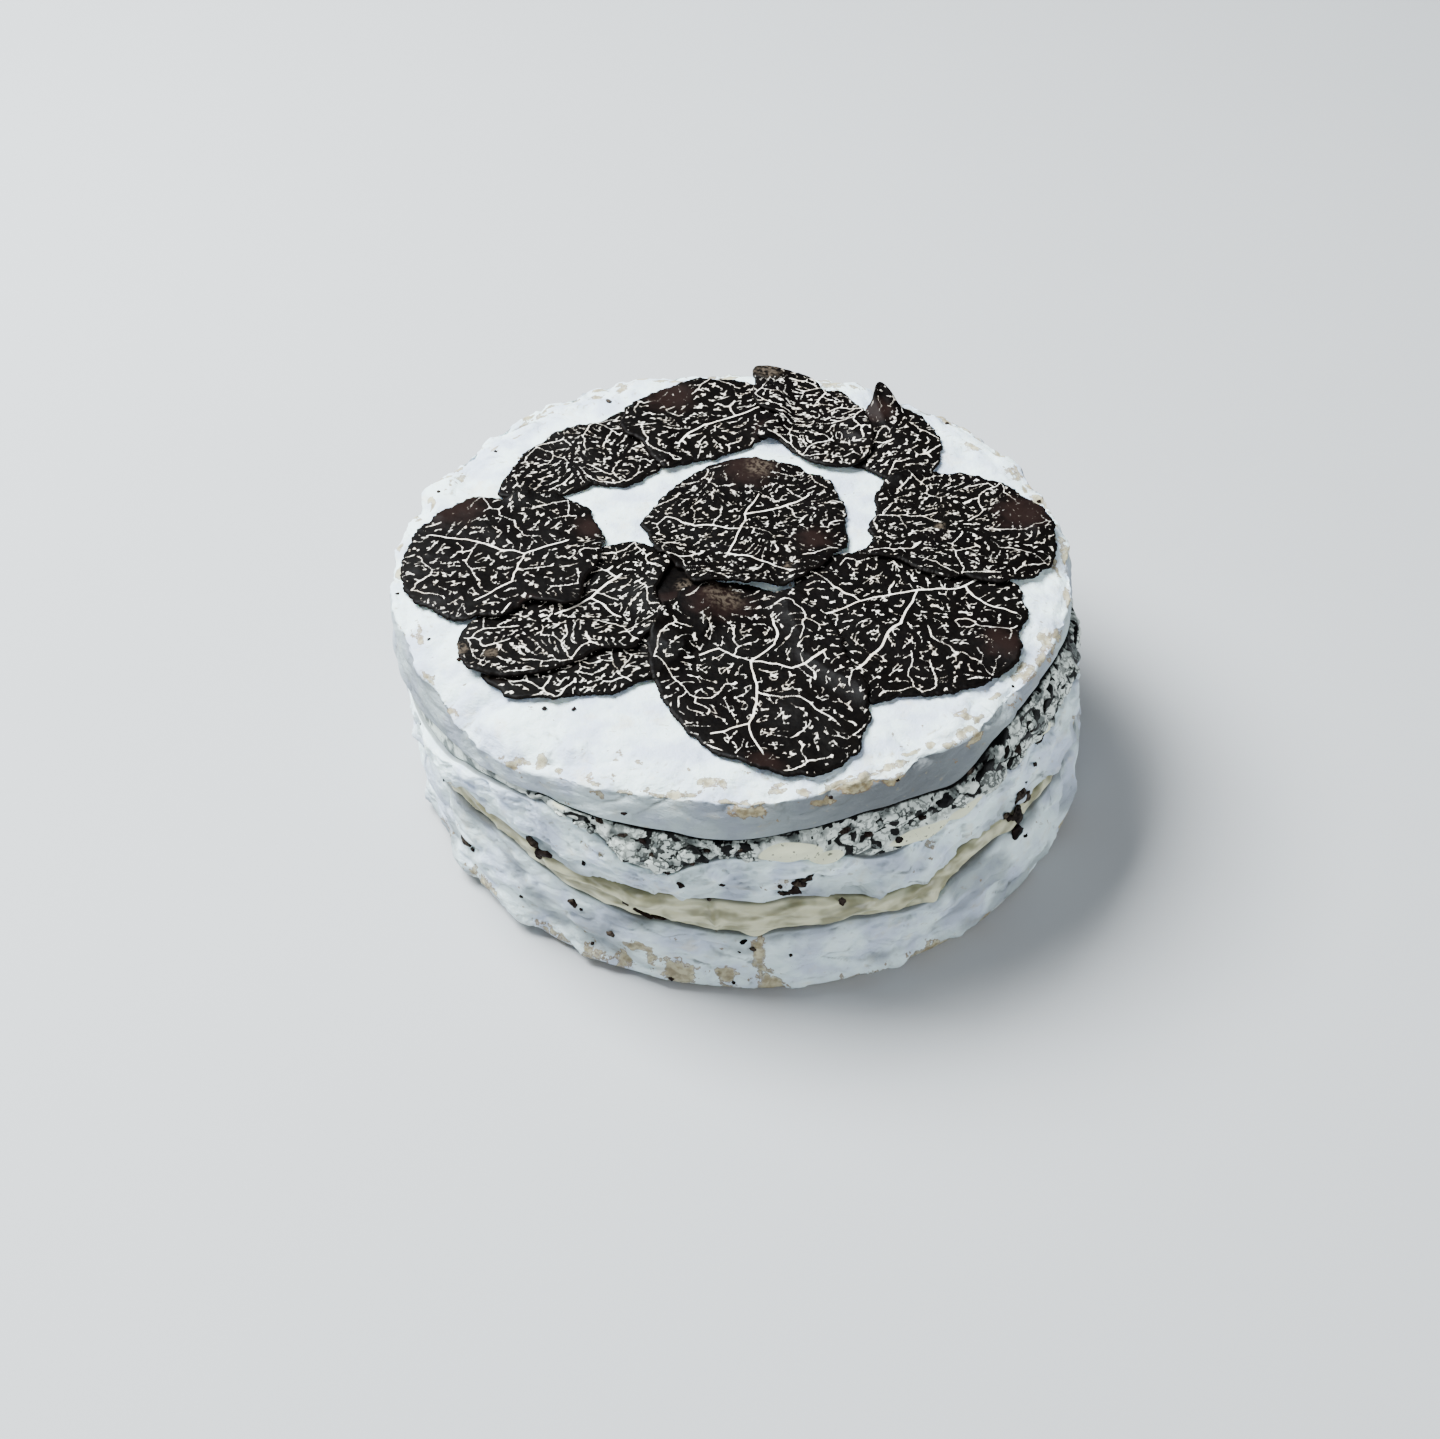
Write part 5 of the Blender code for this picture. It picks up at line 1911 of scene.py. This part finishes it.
    def at(self, plan: Array) -> Array:
        """The field at places of the plan, between the four grid points round each."""
        return grid_value(self.value, (plan - self.middle + self.half) / self.STEP)


def grid_value(grid: Array, place: Array) -> Array:
    """A grid's value at places given in its own steps, weighed between four points.

    Args:
        grid: The grid.
        place: The places.

    Returns:
        The value at each place.
    """
    limit = np.array(grid.shape) - 1.001
    place = np.clip(place, 0.0, limit)
    base = place.astype(int)
    i, j = base[..., 0], base[..., 1]
    u, v = (place - base)[..., 0], (place - base)[..., 1]
    return ((1 - u) * (1 - v) * grid[i, j] + u * (1 - v) * grid[i + 1, j]
            + (1 - u) * v * grid[i, j + 1] + u * v * grid[i + 1, j + 1])


class Pile:
    """How high the cheese and the slices laid so far reach, on a square plan grid."""

    STEP = 0.5
    HALF = 70.0
    TOP_DEPTH = 6.0
    FILL_ROUNDS = 6
    LAY_ROUNDS = 60
    SPREAD_ROUNDS = 8

    def __init__(self, surface: Surface) -> None:
        """Start from the top face of the top disc.

        Args:
            surface: The top disc's surface.
        """
        steps = int(2 * self.HALF / self.STEP) + 1
        self.axis = -self.HALF + self.STEP * np.arange(steps)
        self.x, self.y = np.meshgrid(self.axis, self.axis, indexing="ij")
        self.top = np.full((steps, steps), -np.inf)
        high = surface.points[surface.points[:, 2] > HEIGHT - self.TOP_DEPTH]
        place = np.round((high[:, :2] + self.HALF) / self.STEP).astype(int)
        np.maximum.at(self.top, (place[:, 0], place[:, 1]), high[:, 2])
        self.fill()

    def fill(self) -> None:
        """Give each empty cell that lies between others the mean of what is round it."""
        for _ in range(self.FILL_ROUNDS):
            empty = ~np.isfinite(self.top)
            known = np.where(empty, 0.0, self.top)
            total, count = neighbours(known), neighbours((~empty).astype(float))
            self.top = np.where(empty & (count >= 2), total / np.maximum(count, 1), self.top)

    def lay(self, inside: Array) -> Array:
        """Heights of a limp sheet that rests on the pile, over the cells inside its outline.

        Each round moves every cell to the mean of its neighbours, and then lifts it where the
        pile is higher.

        Args:
            inside: The cells that the sheet covers.

        Returns:
            The height of the sheet's underside; cells outside get that of the nearest inside.
        """
        held = inside & np.isfinite(self.top)
        need = np.where(held, self.top + GAP, -np.inf)
        level = need[held].min()
        height = np.where(held, need, level)
        weight = inside.astype(float)
        count = np.maximum(neighbours(weight), 1.0)
        for _ in range(self.LAY_ROUNDS):
            mean = neighbours(height * weight) / count
            height = np.where(inside, np.maximum(0.5 * height + 0.5 * mean, need), level)
        known = inside.copy()
        for _ in range(self.SPREAD_ROUNDS):
            total = neighbours(np.where(known, height, 0.0))
            count = neighbours(known.astype(float))
            fresh = ~known & (count > 0)
            height = np.where(fresh, total / np.maximum(count, 1.0), height)
            known |= fresh
        return height

    def add(self, inside: Array, upper: Array) -> None:
        """Raise the pile to a sheet's upper face."""
        self.top = np.where(inside, np.maximum(self.top, upper), self.top)


def neighbours(grid: Array) -> Array:
    """Sum of the four neighbours of each cell.

    Args:
        grid: The cells.

    Returns:
        The sums.
    """
    total = np.zeros_like(grid)
    total[1:] += grid[:-1]
    total[:-1] += grid[1:]
    total[:, 1:] += grid[:, :-1]
    total[:, :-1] += grid[:, 1:]
    return total


@dataclass
class TruffleSlices:
    """The twelve thin truffle slices, laid one by one."""

    noise: Noise
    thickness: float = 0.8
    edge: float = 0.6
    wave: float = 0.3
    wave_lengths: tuple[float, float] = (26.0, 32.0)
    spacing: float = 0.23
    seed: int = 5
    skipped: int = 26
    widen: float = 0.06
    margin: float = 0.3
    grain: float = 0.07
    rounding: float = 0.22
    rounding_width: float = 0.5
    bending: float = 1.1
    fine_bending: float = 0.26
    under_parts: tuple[float, ...] = (1.0, 0.9, 0.7, 0.4)

    def outline(self, piece: Slice, angle: Array, phase: float) -> Array:
        """Distance of the slice's crinkled outline from its middle, at some angles.

        Args:
            piece: The slice.
            angle: The angles.
            phase: Where its crinkles start.

        Returns:
            The distance at each angle.
        """
        circle = level_points(compass(angle)) * piece.half_width
        shift = 100.0 * phase
        ragged = (0.55 * self.noise.layered(circle + shift, 5.0, 2)
                  + 0.42 * self.noise.layered(circle + shift + 50.0, 1.6, 3, 0.6))
        return piece.reach(angle) + ragged

    def build(self, pile: Pile, material: bpy.types.Material) -> None:
        """Lay and make every slice; some draws are skipped before each one's two phases.

        Args:
            pile: The pile that they are laid on.
            material: Their material.
        """
        rng = np.random.default_rng(self.seed)
        for index, piece in enumerate(SLICES):
            rng.random(self.skipped)
            phases = rng.uniform(0, 2 * np.pi, 2)
            surface = self.surface(piece, pile, phases, index)
            surface.build(piece.name + "_truffle", material, Slot.TRUFFLE, (piece.name,))

    def disc_grid(self, count: int) -> tuple[Array, Array]:
        """A square grid pressed into a round disc: share outwards and angle of each point.

        A grid point (a, b) in -1..1 lies on the square ring r = max(|a|, |b|), and goes the
        same part of the way round the circle of radius r.

        Args:
            count: Points along each side of the grid.

        Returns:
            The share outwards and the angle of each point.
        """
        axis = np.linspace(-1.0, 1.0, count)
        a, b = np.meshgrid(axis, axis, indexing="ij")
        wide = np.abs(a) >= np.abs(b)
        ring = np.where(wide, a, b)
        other = np.where(wide, b, a)
        part = np.divide(other, ring, out=np.zeros_like(ring), where=ring != 0)
        turn = np.where(wide, part * np.pi / 4, np.pi / 2 - part * np.pi / 4)
        return np.abs(ring), np.degrees(turn + np.where(ring < 0, np.pi, 0.0)) % FULL_TURN

    def surface(self, piece: Slice, pile: Pile, phases: Array, index: int) -> Surface:
        """One slice: a fine upper face, a rounded edge and a plain underside.

        Args:
            piece: The slice.
            pile: The pile that it is laid on.
            phases: Phases of its two waves.
            index: Its place in the order.

        Returns:
            The surface.
        """
        middle = piece.place
        count = int(2 * piece.half_length / self.spacing)
        share, angle = self.disc_grid(count)
        phase = float(phases[0])
        reach = self.outline(piece, angle, phase)
        plan = middle + (share * reach)[..., None] * compass(angle)
        cells = np.stack([pile.x, pile.y], axis=-1)
        away = cells - middle
        around = np.degrees(np.arctan2(away[..., 1], away[..., 0]))
        far = np.hypot(away[..., 0], away[..., 1])
        limit = self.outline(piece, around, phase)
        inside = far < limit + self.margin
        under = pile.lay(inside)
        pile_share = np.clip(far / limit, 0.0, 1.0)
        under_all = under + self.own_shape(piece, cells, around, pile_share, phases)
        pile.add(inside, under_all + self.depth_at(pile_share))
        lower = grid_value(under, (plan + pile.HALF) / pile.STEP)
        lower = lower + self.own_shape(piece, plan, angle, share, phases)
        grain = self.grain * self.noise.layered(level_points(plan) + 20.0 * index, 3.0, 3)
        upper = lower + self.depth_at(share) + grain * (1 - share ** 6)
        inset = reach * (1 - share)
        upper = upper - self.rounding * ramp(inset, self.rounding_width, 0.0)
        return self.close(piece, plan, lower, upper, inset, index)

    def depth_at(self, share: Array) -> Array:
        """Thickness at a share of the way out: thinner at the edge, by the share's 4th power."""
        return self.thickness + (self.edge - self.thickness) * share ** 4

    def own_shape(self, piece: Slice, plan: Array, angle: Array, share: Array,
                  phases: Array) -> Array:
        """A slice's own wave, and where its edge lifts.

        Args:
            piece: The slice.
            plan: Places (x, y).
            angle: Angles of the places.
            share: How far out they lie, 0 to 1.
            phases: Phases of its two waves.

        Returns:
            The rise at each place.
        """
        wave = 2 * np.pi * plan / np.array(self.wave_lengths) + phases
        rise = self.wave * (1 + np.sin(wave[..., 0]) * np.cos(wave[..., 1])) / 2
        return rise + Profile(0.0, piece.lifts).at(angle) * share ** 2

    def close(self, piece: Slice, plan: Array, lower: Array, upper: Array, inset: Array,
              index: int) -> Surface:
        """Join the upper face, the edge and a coarse underside, and colour the points.

        Args:
            piece: The slice.
            plan: Places (x, y) of the upper face.
            lower: Heights of the underside.
            upper: Heights of the upper face.
            inset: How far inside the outline each point lies.
            index: The slice's place in the order.

        Returns:
            The surface.
        """
        count = plan.shape[0]
        top_points = np.concatenate([plan, upper[..., None]], axis=-1).reshape(-1, 3)
        number = np.arange(count * count).reshape(count, count)
        a, b, c, d = number[:-1, :-1], number[1:, :-1], number[1:, 1:], number[:-1, 1:]
        quads = [np.stack([a, b, c, d], axis=-1).reshape(-1, 4)]
        rim = np.concatenate([number[:-1, 0], number[-1, :-1], number[:0:-1, -1],
                              number[0, :0:-1]])
        edge_points = top_points[rim]
        edge_lower = lower.reshape(-1)[rim]
        away = edge_points[:, :2] - piece.place
        outer = edge_points.copy()
        outer[:, :2] += away / np.linalg.norm(away, axis=1, keepdims=True) * self.widen
        outer[:, 2] = edge_lower + (edge_points[:, 2] - edge_lower) * 0.5
        rings = [outer]
        for part in self.under_parts:
            rings.append(np.column_stack([piece.place + away * part,
                                          self.lower_at(plan, lower, rim, part)]))
        total = len(top_points)
        here = np.arange(len(rim))
        after = (here + 1) % len(rim)
        previous = rim
        for k in range(len(rings)):
            current = total + k * len(rim) + here
            quads.append(np.stack([previous[here], current[here], current[after],
                                   previous[after]], axis=-1))
            previous = current
        pole = total + len(rings) * len(rim)
        triangles = np.stack([previous[here], np.full(len(rim), pole), previous[after]], axis=-1)
        centre = np.append(piece.place, lower[count // 2, count // 2])[None]
        points = np.concatenate([top_points, *rings, centre])
        return Surface(points, np.concatenate(quads), triangles,
                       self.values(piece, points, total, inset, index))

    def lower_at(self, plan: Array, lower: Array, rim: Array, part: float) -> Array:
        """The underside's height at a part of the way from the middle to the rim.

        Args:
            plan: Places (x, y) of the upper face.
            lower: Heights of the underside.
            rim: Numbers of the outermost points.
            part: The part of the way.

        Returns:
            The heights.
        """
        count = plan.shape[0]
        i, j = rim // count, rim % count
        half = (count - 1) / 2
        place = np.stack([half + (i - half) * part, half + (j - half) * part], axis=-1)
        return grid_value(lower, place)

    def values(self, piece: Slice, points: Array, total: int, inset: Array,
               index: int) -> dict[Mask, Array]:
        """Veins, stained zones, the dark edge and pale lips, at every point.

        Args:
            piece: The slice.
            points: All its points.
            total: How many of them are on the upper face.
            inset: How far inside the outline those lie.
            index: The slice's place in the order.

        Returns:
            The values.
        """
        plan = points[:, :2] - np.array([CENTRE_SHIFT, 0.0])
        field_of_veins = VeinField(piece, 100 + index)
        level = points * np.array([1.0, 1.0, 0.0])
        fine = self.fine_bending * self.noise.plain(level, 2.2)
        bend = [self.bending * self.noise.plain(level + shift, 7.0) + fine
                for shift in (300.0, 400.0)]
        vein = field_of_veins.at(plan + np.stack(bend, axis=-1))
        depth = np.zeros(len(points))
        depth[:total] = inset.ravel()
        edge = ramp(depth, 0.55, 0.1)
        zone = self.spots(plan, piece.zones)
        pale = self.spots(plan, piece.pales)
        vein = vein - 0.05 * ramp(zone, 0.35, 0.9) - 0.10 * ramp(pale, 0.3, 0.8)
        return {Mask.VEIN: vein, Mask.ZONE: zone, Mask.EDGE: edge, Mask.PALE: pale}

    def spots(self, plan: Array, places: Sequence[Triple]) -> Array:
        """How near each point is to a spot: the largest of exp(-(distance / half size)^2).

        Args:
            plan: Places (x, y) of the points.
            places: The spots, as (x, y, half size).

        Returns:
            A value from 0 to 1 at each point.
        """
        result = np.zeros(len(plan))
        for x, y, half in places:
            distance = np.hypot(plan[:, 0] - x, plan[:, 1] - y) / half
            result = np.maximum(result, np.exp(-(distance ** 2)))
        return result


@dataclass
class Crumbs:
    """Bits of chopped truffle stuck to the rind, on the sides and the top."""

    noise: Noise
    on_side: tuple[tuple[float, float, float, float], ...] = (
        (-145, 10.6, 2, 1.1), (-143.5, 9.4, 0.6, 0.5), (-119, 15.2, 1, 1), (-117.5, 14, 0.4, 0.4),
        (-112, 11.1, 0.8, 0.8), (-116, 5.2, 0.5, 0.4), (-89, 12.6, 0.6, 0.5),
        (-90.5, 14.2, 0.9, 0.35), (-91, 11.6, 0.45, 0.4), (-83, 10.7, 0.4, 0.3),
        (-102, 2.7, 0.5, 0.5), (-92, 3.5, 0.4, 0.4), (-94, 27.9, 0.7, 0.55),
        (-85, 28.4, 0.45, 0.6), (-116, 28, 0.45, 0.7), (-81, 29, 1.6, 0.9), (-83, 27.2, 1.5, 0.9),
        (-84.4, 25.8, 0.9, 0.6), (-82, 28.1, 1.6, 0.8), (-80, 29.9, 0.9, 0.5),
        (-83.9, 26.5, 1, 0.7), (-75, 21.8, 0.7, 1), (-96, 23.8, 0.35, 0.3), (-87, 23.2, 0.3, 0.3),
        (-109, 43, 0.7, 0.35), (-66, 47, 0.35, 0.3), (-77, 46.4, 0.35, 0.3), (-124, 25, 1.8, 0.8),
        (-126.5, 26.2, 1.6, 0.7), (-125, 24.2, 0.8, 1), (-107, 18.8, 2.4, 0.6),
        (-109.5, 20.2, 0.9, 1.1), (-104, 18, 1.6, 0.4), (-39.5, 21.5, 2.3, 2.6),
        (-38, 24.5, 1.8, 2.2), (-40.5, 18.8, 1.6, 1.6), (-37, 19.5, 1.3, 2), (-36.2, 23, 1.1, 1.6),
        (-41.5, 22.5, 1.3, 0.9), (-42.8, 24.2, 0.8, 0.6), (-38.6, 16.9, 0.8, 0.7),
        (-36, 27, 0.7, 1.1), (-34.2, 29.6, 0.5, 0.9), (-31.6, 32.2, 0.5, 0.9),
        (-43.6, 19.6, 0.5, 0.4), (-32, 34.5, 1.2, 1.4), (-66, 34.5, 0.9, 0.7),
        (-106, 37.6, 0.8, 0.5), (-104.5, 35.2, 0.5, 0.9), (-102.2, 31, 0.7, 0.5),
        (-100.2, 28.6, 0.9, 0.5), (-103.2, 29.6, 0.4, 0.6), (-98.6, 33.2, 0.6, 0.5),
        (-96.2, 36.8, 0.9, 0.4), (-91, 37.6, 0.7, 0.4), (-75, 39.2, 1.2, 0.5),
        (-71, 37.6, 0.9, 0.6), (-62, 37.6, 0.8, 0.6), (-56.5, 38.4, 1.2, 0.6), (-51, 40.4, 1, 0.8),
        (-48.8, 36.4, 0.7, 1.4), (-44, 41, 0.6, 1.6), (-40.5, 38.5, 0.9, 1.2),
        (-36.5, 40.2, 0.8, 1), (-30, 38.6, 0.9, 1.3), (-113, 39.4, 1.2, 0.4),
        (-109.2, 38.2, 0.9, 0.4), (-152, 20, 0.4, 0.3), (-158, 29, 0.4, 0.3), (-130, 9, 0.4, 0.4),
    )
    on_top: tuple[Triple, ...] = (
        (-28, 50, 0.8), (-60, 20, 0.5), (-65, -9, 0.45), (-55, -17, 0.6), (-52, -28, 0.5),
        (-36, -41, 0.55), (-31, -41, 0.6), (56, 19, 0.5), (-47, -24, 0.5), (46, -34, 0.35),
        (-58, -22, 0.4), (9, 56, 0.45), (40, 44, 0.5), (-50, 34, 0.4),
    )
    behind: int = 34
    seed: int = 8
    per_degree: float = 1.13
    least_radius: float = 56.0
    top_depth: float = 8.0
    thickest: float = 0.7
    uneven: float = 0.35

    def surface(self, layers: Sequence[Surface]) -> Surface:
        """All crumbs as one surface.

        Each crumb on a side lies where the nearest point of the layers' surfaces is.

        Args:
            layers: Surfaces that carry crumbs.

        Returns:
            The surface of the crumbs.
        """
        rng = np.random.default_rng(self.seed)
        carrier = np.concatenate([layer.points for layer in layers])
        turn = np.degrees(np.arctan2(carrier[:, 1], carrier[:, 0]))
        radius = np.hypot(carrier[:, 0], carrier[:, 1])
        side = list(self.on_side)
        for _ in range(self.behind):
            half = rng.uniform(0.3, 1.1)
            side.append((rng.uniform(-20.0, 200.0), rng.uniform(3.0, 44.0), half,
                         half * rng.uniform(0.5, 0.9)))
        lumps = []
        for angle, height, length, tall in side:
            away = angle_between(turn, angle) * self.per_degree
            near = np.where(radius > self.least_radius, away ** 2 + (carrier[:, 2] - height) ** 2,
                            np.inf)
            spot = int(near.argmin())
            lumps.append(Lump(angle, radius[spot] + 0.05, height,
                              min(self.thickest, 0.2 + 0.4 * length), length, tall))
        for x, y, half in self.on_top:
            place = np.hypot(carrier[:, 0] - x - CENTRE_SHIFT, carrier[:, 1] - y)
            near = np.where(carrier[:, 2] > HEIGHT - self.top_depth, place, np.inf)
            spot = int(near.argmin())
            angle = np.degrees(np.arctan2(y, x + CENTRE_SHIFT))
            lumps.append(Lump(float(angle), float(np.hypot(x + CENTRE_SHIFT, y)),
                              carrier[spot, 2] + 0.2 * half, half, half * 0.8, half * 0.5))
        surface, owner = lump_surface(lumps, self.noise, rng, uneven=self.uneven)
        red = rng.uniform(0.5, 1.5, len(lumps))
        brown = rng.uniform(0.15, 0.8, len(lumps))
        count = len(owner)
        surface.values = {Mask.VEIN: np.full(count, -1.0), Mask.ZONE: red[owner],
                          Mask.EDGE: np.zeros(count), Mask.PALE: brown[owner]}
        return surface


@dataclass(frozen=True)
class Lamp:
    """One square soft light, with its place and size in metres and its power in watts."""

    name: str
    place: Triple
    size: float
    power: float
    colour: Triple
    target: Triple = (0.0, 0.0, 0.03)

    def build(self) -> None:
        """Add the light, turned to its target."""
        data = bpy.data.lights.new(self.name, "AREA")
        data.size = self.size
        data.energy = self.power
        data.color = self.colour
        lamp = bpy.data.objects.new(self.name, data)
        lamp.location = self.place
        way = np.array(self.target) - np.array(self.place)
        lamp.rotation_euler = (np.arctan2(np.hypot(way[0], way[1]), -way[2]), 0.0,
                               np.arctan2(way[1], way[0]) - np.pi / 2)
        bpy.context.scene.collection.objects.link(lamp)


@dataclass(frozen=True)
class Studio:
    """The floor, the lights and the camera, none of which is part of the cheese."""

    lamps: tuple[Lamp, ...] = (
        Lamp("top_light", (-0.46, 0.2, 0.76), 0.5, 42.0, (0.92, 0.98, 1.0)),
        Lamp("front_light", (-0.1, -1.0, 0.8), 0.9, 5.4, (0.92, 0.97, 1.0)),
        Lamp("right_light", (1.0, -0.45, 0.4), 0.4, 7.0, (0.90, 0.96, 1.0)),
    )
    floor_half: float = 3.0
    camera_place: Triple = (-4.7, -326.4, 316.9)
    camera_pitch: float = 46.5
    camera_lens: float = 56.425
    camera_width: float = 36.0
    world_colour: tuple[float, float, float, float] = (0.80, 0.88, 1.0, 1.0)
    world_strength: float = 0.14

    def build(self) -> None:
        """Make the floor, the lights, the world's weak even light and the camera."""
        self.build_floor()
        for lamp in self.lamps:
            lamp.build()
        world = bpy.data.worlds.new("studio")
        world.use_nodes = True
        background = world.node_tree.nodes["Background"]
        background.inputs["Color"].default_value = self.world_colour
        background.inputs["Strength"].default_value = self.world_strength
        bpy.context.scene.world = world
        self.build_camera()

    def build_floor(self) -> None:
        """Make the plain pale floor."""
        half = self.floor_half
        mesh = bpy.data.meshes.new("floor")
        mesh.from_pydata([(-half, -half, 0.0), (half, -half, 0.0), (half, half, 0.0),
                          (-half, half, 0.0)], [], [(0, 1, 2, 3)])
        mesh.materials.append(FloorFinish().make())
        floor = bpy.data.objects.new("floor", mesh)
        bpy.context.scene.collection.objects.link(floor)

    def build_camera(self) -> None:
        """Set the camera up where the picture was taken from."""
        data = bpy.data.cameras.new("camera")
        data.sensor_width = self.camera_width
        data.lens = self.camera_lens
        camera = bpy.data.objects.new("camera", data)
        camera.location = np.array(self.camera_place) * MM
        camera.rotation_euler = (np.radians(self.camera_pitch), 0.0, 0.0)
        bpy.context.scene.collection.objects.link(camera)
        bpy.context.scene.camera = camera


def main() -> None:
    """Build the cheese piece by piece, then the studio round it."""
    logging.basicConfig(level=logging.INFO, format="%(name)s %(message)s")
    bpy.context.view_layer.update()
    rind = RindFinish().make()
    relief = Relief(Noise(3))
    bottom = BottomDisc(relief).surface()
    middle = MiddleDisc(relief).surface()
    top = TopDisc(relief).surface()
    bottom.build("bottom_rind", rind, Slot.RIND, ("bottom_cheese",))
    middle.build("middle_rind", rind, Slot.RIND, ("middle_cheese",))
    top.build("top_rind", rind, Slot.RIND, ("top_cheese",))
    cream = CreamFilling(Noise(4), 720, 36, (BOTTOM_TOP, MIDDLE_UNDER), LOWER_DEPTH).surface()
    cream.build("cream_layer", CreamFinish().make(), Slot.CREAM, ("lower_filling",))
    curd = CurdFilling(Noise(6), 1080, 44, (MIDDLE_TOP, TOP_UNDER), UPPER_DEPTH).surface()
    curd.build("curd_layer", CurdFinish().make(), Slot.TRUFFLE_CREAM, ("upper_filling",))
    truffle = TruffleFinish().make()
    TruffleSlices(Noise(9)).build(Pile(top), truffle)
    crumbs = Crumbs(Noise(11)).surface((bottom, middle, top, cream, curd))
    crumbs.build("crumbs", truffle, Slot.TRUFFLE)
    Studio().build()


if __name__ == "__main__":
    main()
